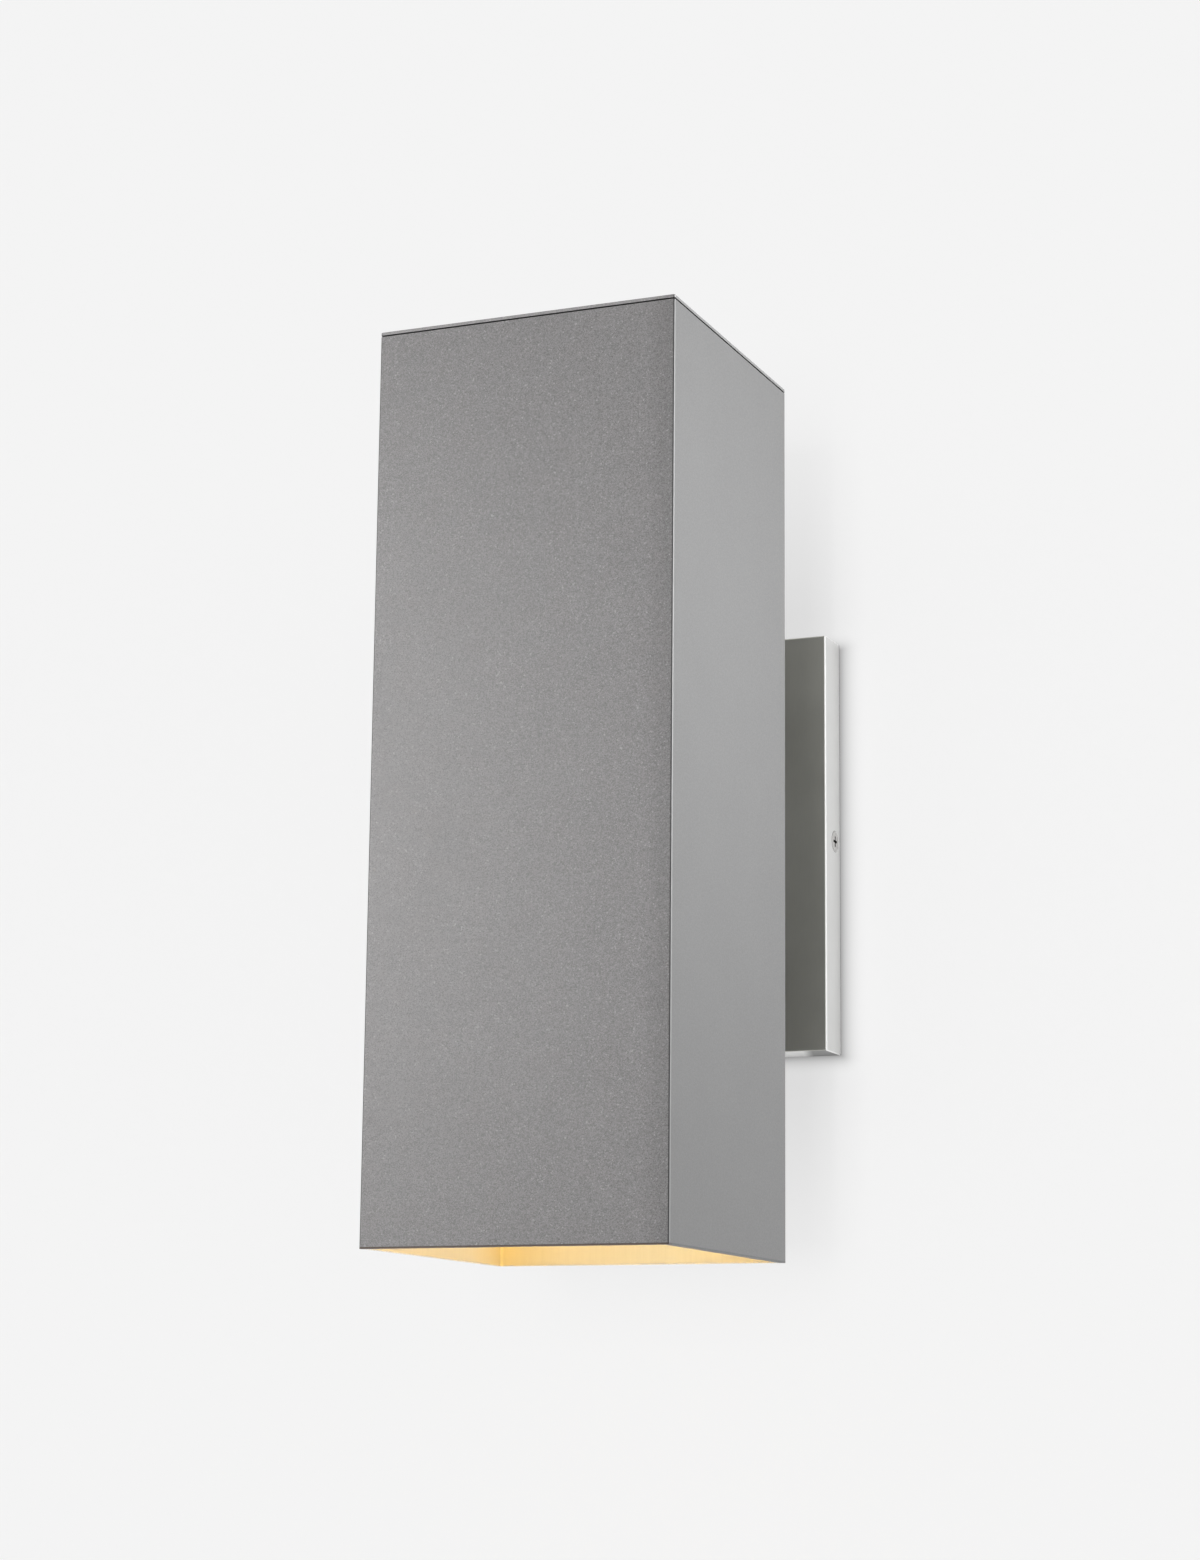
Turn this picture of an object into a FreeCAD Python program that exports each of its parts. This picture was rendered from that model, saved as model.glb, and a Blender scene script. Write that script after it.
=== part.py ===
import FreeCAD, Part
import math
import os

import Sketcher

# Sizes in millimetres, one row for each that can be set by itself
SIZES = (
    # Housing tube, square and upright, closed by the lid on top and open below
    ("tube_width", 106),
    ("tube_depth", 106),
    ("tube_height", 303.2),
    ("tube_wall", 2.4),
    ("tube_corner", 0.8),
    ("tube_inner_corner", 1.2),
    # Lid and its hidden fixings
    ("lid_thickness", 1.1),
    ("lid_edge", 0.25),
    ("lid_gasket_thickness", 0.5),
    ("lid_gasket_inset", 0.8),
    ("bar_width", 14),
    ("bar_thickness", 1.5),
    ("bar_tab", 12),
    ("bar_recess", 8),
    ("bar_offset", 32),
    ("stud_spread", 36),
    ("stud_radius", 2),
    ("stud_foot_radius", 2.8),
    ("stud_foot", 0.8),
    ("stud_end", 1.4),
    ("stud_play", 0.25),
    ("nut_flats", 7),
    ("nut_height", 3.2),
    ("washer_radius", 3.8),
    ("washer_thickness", 0.9),
    ("washer_split", 0.9),
    # Arm between the wall plate and the tube
    ("arm_gap", 40),
    ("arm_width", 44),
    ("arm_height", 76),
    ("arm_wall", 3),
    ("arm_corner", 3),
    ("arm_gasket_thickness", 0.8),
    ("arm_gasket_inset", 0.4),
    ("port_inset", 6.5),
    ("port_radius", 4),
    ("arm_screw_radius", 2),
    ("arm_screw_length", 14),
    ("arm_screw_head_radius", 3.8),
    ("arm_screw_head_height", 2.6),
    ("screw_play", 0.25),
    ("thread_fit", 0.05),
    # Wire holes and their bushings
    ("wire_hole_radius", 8),
    ("bushing_bore_radius", 5),
    ("bushing_flange_radius", 10),
    ("bushing_lip_radius", 8.8),
    ("bushing_flange", 1.2),
    ("bushing_lip", 1),
    ("bushing_play", 0.1),
    # Wall plate, a shallow pan of folded sheet
    ("canopy_width", 108),
    ("canopy_height", 149.4),
    ("canopy_drop", 1.2),
    ("canopy_depth", 15),
    ("canopy_sheet", 1.2),
    ("canopy_edge", 0.7),
    ("wall_gasket_thickness", 0.8),
    ("wall_gasket_inset", 0.2),
    # Side screws of the wall plate, with flush heads
    ("side_screw_from_wall", 6),
    ("side_screw_radius", 1.75),
    ("side_screw_head_radius", 3.55),
    ("side_screw_length", 10),
    # Wall bracket, a cross of sheet with tapped tabs
    ("bracket_thickness", 1.6),
    ("strip_width", 34),
    ("strip_height", 118),
    ("cross_height", 18),
    ("tab_depth", 11),
    ("tab_gap", 0.8),
    ("collar_wall", 1.6),
    ("collar_height", 3),
    ("bracket_hole_radius", 12),
    ("box_screw_spacing", 88.9),
    ("box_slot_length", 12),
    ("box_slot_radius", 2.5),
    # Ground screws and ring terminals
    ("ground_screw_radius", 2),
    ("ground_screw_head_radius", 3.6),
    ("ground_screw_head_height", 2.4),
    ("ground_screw_tip_gap", 0.4),
    ("ground_screw_x", -8),
    ("ground_screw_z", 28),
    ("strap_ground_rise", 20.5),
    ("ring_radius", 3.8),
    ("ring_thickness", 0.8),
    ("ring_barrel_radius", 2.1),
    ("ring_barrel_length", 7),
    ("ring_reach", 6),
    # Socket bracket on the back wall inside the tube
    ("strap_width", 40),
    ("strap_thickness", 1.5),
    ("strap_end", 6.5),
    ("strap_bend", 3),
    ("strap_hole_radius", 11),
    ("flange_below_rim", 33.6),
    ("flange_beyond_axis", 17),
    ("flange_corner", 6),
    ("lead_hole_radius", 5),
    # Lampholder
    ("nipple_radius", 4.85),
    ("nipple_bore_radius", 3.2),
    ("nipple_above_nut", 2.5),
    ("nipple_into_cap", 6),
    ("locknut_flats", 14),
    ("locknut_height", 3.5),
    ("cap_height", 20),
    ("cap_radius", 19),
    ("cap_collar_radius", 9),
    ("cap_collar_height", 4),
    ("cap_shoulder_height", 11),
    ("cap_cavity_radius", 15.5),
    ("cap_roof", 2.5),
    ("socket_height", 34),
    ("socket_radius", 19),
    ("socket_foot_radius", 17.2),
    ("socket_foot_height", 12),
    ("socket_web", 6),
    ("shell_thickness", 0.4),
    ("shell_clearance", 0.45),
    ("shell_length", 26),
    ("shell_seat_play", 0.05),
    ("shell_eye_radius", 9.5),
    ("line_screw_inset", 3),
    ("terminal_screw_radius", 1.5),
    ("terminal_head_radius", 2.8),
    ("terminal_head_height", 2),
    ("contact_sheet", 0.5),
    ("contact_width", 5),
    ("contact_drop", 4.2),
    ("contact_foot", 2.2),
    # Lamp, base up, with the usual 26 mm screw cap
    ("lamp_gap", 0.3),
    ("lamp_cap_radius", 13.05),
    ("lamp_cap_height", 21),
    ("lamp_thread_depth", 0.8),
    ("lamp_thread_pitch", 3.6),
    ("lamp_cap_sheet", 0.35),
    ("lamp_insulator_height", 3.4),
    ("lamp_insulator_radius", 8.2),
    ("lamp_contact_radius", 4.6),
    ("lamp_contact_height", 1.2),
    ("sink_height", 43.6),
    ("sink_neck_radius", 15.4),
    ("sink_rim_radius", 28.8),
    ("sink_wall", 1.6),
    ("globe_radius", 30),
    ("globe_wall", 1.2),
    ("globe_rim_step", 0.8),
    ("led_board_radius", 23),
    ("led_board_thickness", 1.6),
    ("led_board_post_radius", 3.2),
    # Leads and their connectors
    ("lead_radius", 1.3),
    ("lead_spacing", 2.9),
    ("lead_stand_off", 10.3),
    ("lead_bend", 12),
    ("lead_entry_bend", 8),
    ("lead_small_bend", 4),
    ("lead_bar_gap", 2.8),
    ("lead_in_canopy", 7),
    ("pigtail_dip", 8),
    ("lead_end_gap", 0.3),
    ("connector_x", 7),
    ("connector_z", 15),
    ("connector_length", 16),
    ("connector_mouth_radius", 4.2),
    ("connector_tip_radius", 2.8),
    ("connector_bore_radius", 3.2),
    ("connector_bore_depth", 9),
    # Cross recesses in the screw heads
    ("recess_reach", 1.9),
    ("recess_width", 0.9),
    ("recess_depth", 1.1),
    # Overrun of every cut past the face that it leaves
    ("overrun", 1),
)

# Shares of a size, and counts
HEAD_DOME_SHARE = 0.55
HEX_CORNER_SHARE = 1 / math.sqrt(3)
RUN_SHARE = 0.45
# Three leads bundled in a triangle: how far the two low ones and the high one are from its middle
LOW_LEAD_SHARE = 1 / math.sqrt(12)
HIGH_LEAD_SHARE = 1 / math.sqrt(3)
THREAD_TURNS = 5
SIDES = (-1, 1)
# Two places closer than this count as one when an edge is looked for
SAME_PLACE = 1e-6

UP = FreeCAD.Vector(0, 0, 1)
TURNED_TO_WALL = FreeCAD.Rotation(FreeCAD.Vector(1, 0, 0), -90)
TURNED_FROM_WALL = FreeCAD.Rotation(FreeCAD.Vector(1, 0, 0), 90)
TURNED_OVER = FreeCAD.Rotation(FreeCAD.Vector(1, 0, 0), 180)

doc = FreeCAD.newDocument("WallSconce")
nodes = []


class Length:
    """A length: its number in millimetres and the expression of the sheet that gives it."""

    def __init__(self, number, text):
        self.number = number
        self.text = text

    def __add__(self, other):
        return Length(self.number + other.number, f"({self.text} + {other.text})")

    def __sub__(self, other):
        return Length(self.number - other.number, f"({self.text} - {other.text})")

    def __mul__(self, factor):
        return Length(self.number * factor, f"({self.text} * ({factor}))")

    def __truediv__(self, divisor):
        return Length(self.number / divisor, f"({self.text} / {divisor})")

    def __neg__(self):
        return Length(-self.number, f"(0 - {self.text})")


ZERO = Length(0, "0")


def third_side(long_side, short_side):
    """The other short side of a right triangle."""
    number = math.sqrt(long_side.number**2 - short_side.number**2)
    return Length(number, f"sqrt({long_side.text}^2 - {short_side.text}^2)")


class Sizes:
    """The sheet of driving sizes, read by name."""

    def __init__(self, rows):
        self.sheet = doc.addObject("Spreadsheet::Sheet", "Sizes")
        for row, (name, number) in enumerate(rows, start=1):
            self.sheet.set(f"A{row}", name)
            self.sheet.set(f"B{row}", str(number))
            self.sheet.setAlias(f"B{row}", name)
        doc.recompute()

    def __getattr__(self, name):
        return Length(float(self.sheet.get(name)), f"Sizes.{name}")


size = Sizes(SIZES)


class Places:
    """Depths and heights that several pieces share, from the wall plane and the tube's middle."""

    canopy_back = -size.wall_gasket_thickness
    canopy_face = canopy_back - size.canopy_depth
    canopy_inside = canopy_face + size.canopy_sheet
    tube_back = canopy_face - size.arm_gap
    tube_inside = tube_back - size.tube_wall
    tube_axis = tube_back - size.tube_depth / 2
    strap_face = tube_inside - size.strap_thickness
    inner_width = size.tube_width - size.tube_wall * 2
    inner_depth = size.tube_depth - size.tube_wall * 2
    rim = size.tube_height / 2
    lid_under = rim + size.lid_gasket_thickness
    bar_top = rim - size.bar_recess
    bar_under = bar_top - size.bar_thickness
    port_x = size.arm_width / 2 - size.port_inset
    port_z = size.arm_height / 2 - size.port_inset
    window_width = (port_x - size.port_radius) * 2
    window_height = size.arm_height - size.arm_wall * 2
    strap_ground_z = port_z + size.strap_ground_rise
    flange_top = rim - size.flange_below_rim
    flange_under = flange_top - size.strap_thickness
    cap_top = flange_under - size.locknut_height
    cap_foot = cap_top - size.cap_height
    web_under = cap_foot - size.socket_web
    contact_tip = web_under - size.contact_drop
    lamp_tip = contact_tip - size.lamp_gap
    insulator_top = lamp_tip - size.lamp_contact_height
    lamp_cap_top = insulator_top - size.lamp_insulator_height
    lamp_neck = lamp_cap_top - size.lamp_cap_height
    lamp_waist = lamp_neck - size.sink_height
    shell_bore = size.lamp_cap_radius + size.shell_clearance
    shell_outside = shell_bore + size.shell_thickness
    socket_bore = shell_outside + size.shell_seat_play
    line_screw_x = size.line_screw_inset - size.shell_eye_radius
    neutral_screw_x = (size.shell_eye_radius + shell_bore) / 2
    lead_top_z = bar_under - size.lead_radius - size.lead_bar_gap
    ground_face = size.bracket_thickness + size.collar_height
    lead_lane = strap_face - size.lead_stand_off
    lead_x = size.lead_spacing / 2
    lead_in_connector = size.connector_bore_depth - size.lead_end_gap
    side_head_height = size.side_screw_head_radius - size.side_screw_radius


place = Places


# Building blocks


def vector(across, up, out=ZERO):
    return FreeCAD.Vector(across.number, up.number, out.number)


def put(item, x=ZERO, y=ZERO, z=ZERO, turn=None):
    """Turns an object and binds its place to the sheet."""
    if turn:
        item.Placement = FreeCAD.Placement(FreeCAD.Vector(), turn)
    for axis, length in (("x", x), ("y", y), ("z", z)):
        item.setExpression(f"Placement.Base.{axis}", length.text)
    return item


def node(item, name):
    """Makes an object one of the pieces that are written out."""
    item.Label = name
    nodes.append(item)
    return item


def new_body(name):
    body = doc.addObject("PartDesign::Body", name)
    return body


def sketch_on(body, role, offset=ZERO):
    """A sketch on one of the body's own planes, moved along that plane's normal."""
    plane = next(item for item in body.Origin.OriginFeatures if item.Role == role)
    sketch = body.newObject("Sketcher::SketchObject", "Sketch")
    sketch.AttachmentSupport = [(plane, "")]
    sketch.MapMode = "FlatFace"
    sketch.setExpression("AttachmentOffset.Base.z", offset.text)
    return sketch


def hold(sketch, geometry, point, across, up):
    """Holds a point of the sketch at a place given by the sheet."""
    for kind, axis, length in (("DistanceX", -2, across), ("DistanceY", -1, up)):
        if length.number == 0:
            sketch.addConstraint(Sketcher.Constraint("PointOnObject", geometry, point, axis))
        else:
            row = sketch.addConstraint(Sketcher.Constraint(kind, -1, 1, geometry, point, length.number))
            sketch.setExpression(f"Constraints[{row}]", length.text)


def outline(sketch, corners):
    """A closed outline of straight lines through the corners."""
    first = len(sketch.Geometry)
    count = len(corners)
    for index, corner in enumerate(corners):
        following = corners[(index + 1) % count]
        sketch.addGeometry(Part.LineSegment(vector(*corner), vector(*following)), False)
    for index, corner in enumerate(corners):
        line = first + index
        previous = first + (index - 1) % count
        sketch.addConstraint(Sketcher.Constraint("Coincident", previous, 2, line, 1))
        hold(sketch, line, 1, *corner)


def rectangle(sketch, left, right, low, high):
    outline(sketch, [(left, low), (right, low), (right, high), (left, high)])


def centred_rectangle(sketch, width, height):
    rectangle(sketch, -(width / 2), width / 2, -(height / 2), height / 2)


def circle(sketch, across, up, radius):
    shape = Part.Circle(vector(across, up), UP, radius.number)
    row = sketch.addGeometry(shape, False)
    hold(sketch, row, 3, across, up)
    rule = sketch.addConstraint(Sketcher.Constraint("Radius", row, radius.number))
    sketch.setExpression(f"Constraints[{rule}]", radius.text)


def upright_slot(sketch, across, up, radius, run):
    """A slot with round ends, its two end centres run / 2 above and below the middle."""
    high = up + run / 2
    low = up - run / 2
    top = Part.ArcOfCircle(Part.Circle(vector(across, high), UP, radius.number), 0, math.pi)
    foot = Part.ArcOfCircle(Part.Circle(vector(across, low), UP, radius.number), math.pi, 2 * math.pi)
    left = Part.LineSegment(vector(across - radius, high), vector(across - radius, low))
    right = Part.LineSegment(vector(across + radius, low), vector(across + radius, high))
    rows = [sketch.addGeometry(item, False) for item in (top, left, foot, right)]
    for index, row in enumerate(rows):
        following = rows[(index + 1) % len(rows)]
        sketch.addConstraint(Sketcher.Constraint("Tangent", row, 2, following, 1))
    hold(sketch, rows[0], 3, across, high)
    hold(sketch, rows[2], 3, across, low)
    rule = sketch.addConstraint(Sketcher.Constraint("Radius", rows[0], radius.number))
    sketch.setExpression(f"Constraints[{rule}]", radius.text)


def pad(body, sketch, length, reverse=False, both_ways=False):
    feature = body.newObject("PartDesign::Pad", "Pad")
    feature.Profile = sketch
    feature.SideType = "Symmetric" if both_ways else "One side"
    feature.Reversed = reverse
    feature.setExpression("Length", length.text)
    doc.recompute()
    return feature


def pocket(body, sketch, length, reverse=False, both_ways=False):
    """A cut of the given length, which has to take material away."""
    before = body.Shape.Volume
    feature = body.newObject("PartDesign::Pocket", "Pocket")
    feature.Profile = sketch
    feature.SideType = "Symmetric" if both_ways else "One side"
    feature.Reversed = reverse
    feature.setExpression("Length", length.text)
    doc.recompute()
    if body.Shape.Volume >= before:
        raise RuntimeError(f"a pocket of {body.Name} cuts nothing")
    return feature


def turned(body, sketch):
    """A full turn of the sketch about the body's own Z axis."""
    feature = body.newObject("PartDesign::Revolution", "Revolution")
    feature.Profile = sketch
    feature.ReferenceAxis = (sketch, ["V_Axis"])
    doc.recompute()
    return feature


def rounded(body, radius, chosen):
    """Rounds every edge of the body whose two ends and middle the rule accepts."""
    base = body.Tip
    names = []
    for index, edge in enumerate(base.Shape.Edges, start=1):
        if chosen(edge):
            names.append(f"Edge{index}")
    feature = body.newObject("PartDesign::Fillet", "Fillet")
    feature.Base = (base, names)
    feature.setExpression("Radius", radius.text)
    doc.recompute()
    return feature


def near(number, target):
    return math.isclose(number, target, abs_tol=SAME_PLACE)


def along(edge, axis):
    """True for a straight edge along the given axis, 0 for X, 1 for Y and 2 for Z."""
    start = edge.Vertexes[0].Point
    end = edge.Vertexes[-1].Point
    others = [index for index in range(3) if index != axis]
    return not near(start[axis], end[axis]) and all(near(start[i], end[i]) for i in others)


def upright_corner(half_width, half_depth):
    """A rule for the upright edges at the corners of a rectangle."""

    def chosen(edge):
        middle = edge.CenterOfMass
        corner = near(abs(middle.x), half_width.number) and near(abs(middle.y), half_depth.number)
        return corner and along(edge, 2)

    return chosen


def cylinder(name, radius, height, x=ZERO, y=ZERO, z=ZERO, turn=None):
    item = doc.addObject("Part::Cylinder", name)
    item.setExpression("Radius", radius.text)
    item.setExpression("Height", height.text)
    return put(item, x, y, z, turn)


def block(name, low, high):
    """A box between two corners."""
    item = doc.addObject("Part::Box", name)
    for side, start, end in zip(("Length", "Width", "Height"), low, high):
        item.setExpression(side, (end - start).text)
    return put(item, *low)


def frustum(name, low_radius, high_radius, height, x=ZERO, y=ZERO, z=ZERO):
    item = doc.addObject("Part::Cone", name)
    item.setExpression("Radius1", low_radius.text)
    item.setExpression("Radius2", high_radius.text)
    item.setExpression("Height", height.text)
    return put(item, x, y, z)


def sphere(name, radius, z=ZERO):
    item = doc.addObject("Part::Sphere", name)
    item.setExpression("Radius", radius.text)
    return put(item, z=z)


def hexagon(name, flats, height, z=ZERO):
    item = doc.addObject("Part::Prism", name)
    item.Polygon = 6
    item.setExpression("Circumradius", (flats * HEX_CORNER_SHARE).text)
    item.setExpression("Height", height.text)
    return put(item, z=z)


def cut(name, base, tool):
    item = doc.addObject("Part::Cut", name)
    item.Base = base
    item.Tool = tool
    return item


def fuse(name, shapes):
    item = doc.addObject("Part::MultiFuse", name)
    item.Shapes = shapes
    return item


def group(name, items):
    """Identical pieces kept in one node as separate solids."""
    item = doc.addObject("Part::Compound", name)
    item.Links = items
    return node(put(item), name)


def cross_recess(body, top):
    """A cross recess cut down from the top of a screw's head."""
    long_half = size.recess_reach
    thin_half = size.recess_width / 2
    sketch = sketch_on(body, "XY_Plane", top)
    arm_points = ((long_half, thin_half), (thin_half, thin_half), (thin_half, long_half))
    corners = []
    for flip_x, flip_y in ((1, 1), (-1, 1), (-1, -1), (1, -1)):
        turn = arm_points if flip_x == flip_y else arm_points[::-1]
        corners += [(x * flip_x, y * flip_y) for x, y in turn]
    outline(sketch, corners)
    pocket(body, sketch, size.recess_depth)


def pan_head_screw(name, radius, length, head_radius, head_height):
    """A pan head screw along Z: the head above its seat at zero, the shank below."""
    body = new_body(name)
    sketch = sketch_on(body, "XZ_Plane")
    corners = [
        (ZERO, -length),
        (radius, -length),
        (radius, ZERO),
        (head_radius, ZERO),
        (head_radius, head_height),
        (ZERO, head_height),
    ]
    outline(sketch, corners)
    turned(body, sketch)

    def top_edge(edge):
        box = edge.BoundBox
        return near(box.ZMin, head_height.number) and box.XMax > radius.number

    rounded(body, head_height * HEAD_DOME_SHARE, top_edge)
    cross_recess(body, head_height)
    return body


# Housing and lid


def make_housing():
    """Square tube with the arm's screw holes and the wire hole in its back wall."""
    body = new_body("housing")
    sketch = sketch_on(body, "XY_Plane")
    centred_rectangle(sketch, size.tube_width, size.tube_depth)
    centred_rectangle(sketch, place.inner_width, place.inner_depth)
    pad(body, sketch, size.tube_height)
    rounded(body, size.tube_corner, upright_corner(size.tube_width / 2, size.tube_depth / 2))
    rounded(body, size.tube_inner_corner, upright_corner(place.inner_width / 2, place.inner_depth / 2))
    holes = sketch_on(body, "XZ_Plane")
    circle(holes, ZERO, place.rim, size.wire_hole_radius)
    for side in SIDES:
        for level in SIDES:
            up = place.rim + place.port_z * level
            circle(holes, place.port_x * side, up, size.arm_screw_radius + size.screw_play)
    pocket(body, holes, size.tube_depth / 2 + size.overrun)
    put(body, y=place.tube_axis, z=-place.rim)
    node(body, "housing")


def make_lid():
    """Flat lid with the tube's footprint."""
    body = new_body("lid")
    sketch = sketch_on(body, "XY_Plane")
    centred_rectangle(sketch, size.tube_width, size.tube_depth)
    pad(body, sketch, size.lid_thickness)
    rounded(body, size.tube_corner, upright_corner(size.tube_width / 2, size.tube_depth / 2))

    def top_edge(edge):
        return near(edge.BoundBox.ZMin, size.lid_thickness.number)

    rounded(body, size.lid_edge, top_edge)
    put(body, y=place.tube_axis, z=place.lid_under)
    node(body, "lid")


def make_lid_gasket():
    """Black sealing frame on the tube's top edge, set back from the outside."""
    body = new_body("lid_gasket")
    sketch = sketch_on(body, "XY_Plane")
    width = size.tube_width - size.lid_gasket_inset * 2
    depth = size.tube_depth - size.lid_gasket_inset * 2
    centred_rectangle(sketch, width, depth)
    centred_rectangle(sketch, place.inner_width, place.inner_depth)
    pad(body, sketch, size.lid_gasket_thickness)
    put(body, y=place.tube_axis, z=place.rim)
    node(body, "lid_gasket")


def make_lid_crossbars():
    """Two channels welded between the side walls under the lid."""
    half = place.inner_width / 2
    under = -size.bar_thickness
    inside = half - size.bar_thickness
    bars = []
    for side in SIDES:
        body = new_body("lid_crossbar")
        sketch = sketch_on(body, "XZ_Plane")
        corners = [
            (-half, ZERO),
            (-half, -size.bar_tab),
            (-inside, -size.bar_tab),
            (-inside, under),
            (inside, under),
            (inside, -size.bar_tab),
            (half, -size.bar_tab),
            (half, ZERO),
        ]
        outline(sketch, corners)
        pad(body, sketch, size.bar_width, both_ways=True)
        holes = sketch_on(body, "XY_Plane")
        for end in SIDES:
            circle(holes, size.stud_spread * end, ZERO, size.stud_radius + size.stud_play)
        pocket(body, holes, size.bar_thickness + size.overrun)
        bars.append(put(body, y=place.tube_axis + size.bar_offset * side, z=place.bar_top))
    group("lid_crossbars", bars)


def make_lid_fixings():
    """Weld studs under the lid, with lock washers and nuts below the crossbars."""
    washer_top = place.bar_under
    nut_top = washer_top - size.washer_thickness
    stud_end = nut_top - size.nut_height - size.stud_end
    studs = []
    washers = []
    nuts = []
    for side in SIDES:
        for end in SIDES:
            x = size.stud_spread * end
            y = place.tube_axis + size.bar_offset * side
            shank = cylinder("stud_shank", size.stud_radius, place.lid_under - stud_end)
            foot_z = place.lid_under - stud_end - size.stud_foot
            foot = cylinder("stud_foot", size.stud_foot_radius, size.stud_foot, z=foot_z)
            studs.append(put(fuse("lid_stud", [shank, foot]), x, y, stud_end))
            ring = cylinder("washer_ring", size.washer_radius, size.washer_thickness)
            bore = cylinder("washer_bore", size.stud_radius + size.stud_play, size.washer_thickness)
            half_split = size.washer_split / 2
            low = (-half_split, ZERO, ZERO)
            high = (half_split, size.washer_radius + size.overrun, size.washer_thickness)
            split = block("washer_split", low, high)
            washer = cut("lock_washer", ring, fuse("washer_opening", [bore, split]))
            washers.append(put(washer, x, y, nut_top))
            blank = hexagon("nut_blank", size.nut_flats, size.nut_height)
            thread = cylinder("nut_thread", size.stud_radius + size.thread_fit, size.nut_height)
            nuts.append(put(cut("lid_nut", blank, thread), x, y, nut_top - size.nut_height))
    group("lid_studs", studs)
    group("lid_lock_washers", washers)
    group("lid_nuts", nuts)


# Arm


def port_circles(sketch, radius):
    for side in SIDES:
        for level in SIDES:
            circle(sketch, place.port_x * side, place.port_z * level, radius)


def make_arm():
    """Hollow spacer with four screw ports along its corners."""
    length = size.arm_gap - size.arm_gasket_thickness * 2
    body = new_body("arm")
    outside = sketch_on(body, "XZ_Plane")
    centred_rectangle(outside, size.arm_width, size.arm_height)
    pad(body, outside, length)
    half_width = size.arm_width / 2
    half_height = size.arm_height / 2

    def corner(edge):
        middle = edge.CenterOfMass
        at_corner = near(abs(middle.x), half_width.number) and near(abs(middle.z), half_height.number)
        return at_corner and along(edge, 1)

    rounded(body, size.arm_corner, corner)
    inside = sketch_on(body, "XZ_Plane")
    centred_rectangle(inside, size.arm_width - size.arm_wall * 2, place.window_height)
    pocket(body, inside, length + size.overrun, reverse=True)
    ports = sketch_on(body, "XZ_Plane")
    port_circles(ports, size.port_radius)
    pad(body, ports, length)
    bores = sketch_on(body, "XZ_Plane")
    port_circles(bores, size.arm_screw_radius + size.thread_fit)
    pocket(body, bores, length + size.overrun, reverse=True)
    put(body, y=place.canopy_face - size.arm_gasket_thickness)
    node(body, "arm")


def make_arm_gasket(name, y):
    """Foam frame between an end of the arm and what it is screwed to."""
    body = new_body(name)
    sketch = sketch_on(body, "XZ_Plane")
    width = size.arm_width - size.arm_gasket_inset * 2
    height = size.arm_height - size.arm_gasket_inset * 2
    centred_rectangle(sketch, width, height)
    centred_rectangle(sketch, place.window_width, place.window_height)
    port_circles(sketch, size.arm_screw_radius + size.screw_play)
    pad(body, sketch, size.arm_gasket_thickness)
    put(body, y=y)
    node(body, name)


def make_arm_screws(name, y, turn):
    """Four screws at the arm's ports, their heads seated at the depth y."""
    screws = []
    for side in SIDES:
        for level in SIDES:
            body = pan_head_screw(
                "arm_screw",
                size.arm_screw_radius,
                size.arm_screw_length,
                size.arm_screw_head_radius,
                size.arm_screw_head_height,
            )
            screws.append(put(body, place.port_x * side, y, place.port_z * level, turn))
    group(name, screws)


def make_wire_bushings():
    """Snap bushings: the flange lies inside, the lip behind the wall that is passed."""
    walls = (
        ("housing_bushing", place.tube_inside, size.tube_wall, TURNED_TO_WALL),
        ("canopy_bushing", place.canopy_inside, size.canopy_sheet, TURNED_FROM_WALL),
    )
    neck = size.wire_hole_radius - size.bushing_play
    bushings = []
    for name, y, wall, turn in walls:
        body = new_body(name)
        sketch = sketch_on(body, "XZ_Plane")
        corners = [
            (size.bushing_bore_radius, -size.bushing_flange),
            (size.bushing_flange_radius, -size.bushing_flange),
            (size.bushing_flange_radius, ZERO),
            (neck, ZERO),
            (neck, wall),
            (size.bushing_lip_radius, wall),
            (neck, wall + size.bushing_lip),
            (size.bushing_bore_radius, wall + size.bushing_lip),
        ]
        outline(sketch, corners)
        turned(body, sketch)
        bushings.append(put(body, y=y, turn=turn))
    group("wire_bushings", bushings)


# Wall side


def canopy_outline(sketch, inset):
    """The wall plate's outline, set in all round, its middle lower than the arm and the side screws."""
    half_width = size.canopy_width / 2 - inset
    half_height = size.canopy_height / 2 - inset
    middle = -size.canopy_drop
    rectangle(sketch, -half_width, half_width, middle - half_height, middle + half_height)


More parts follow.
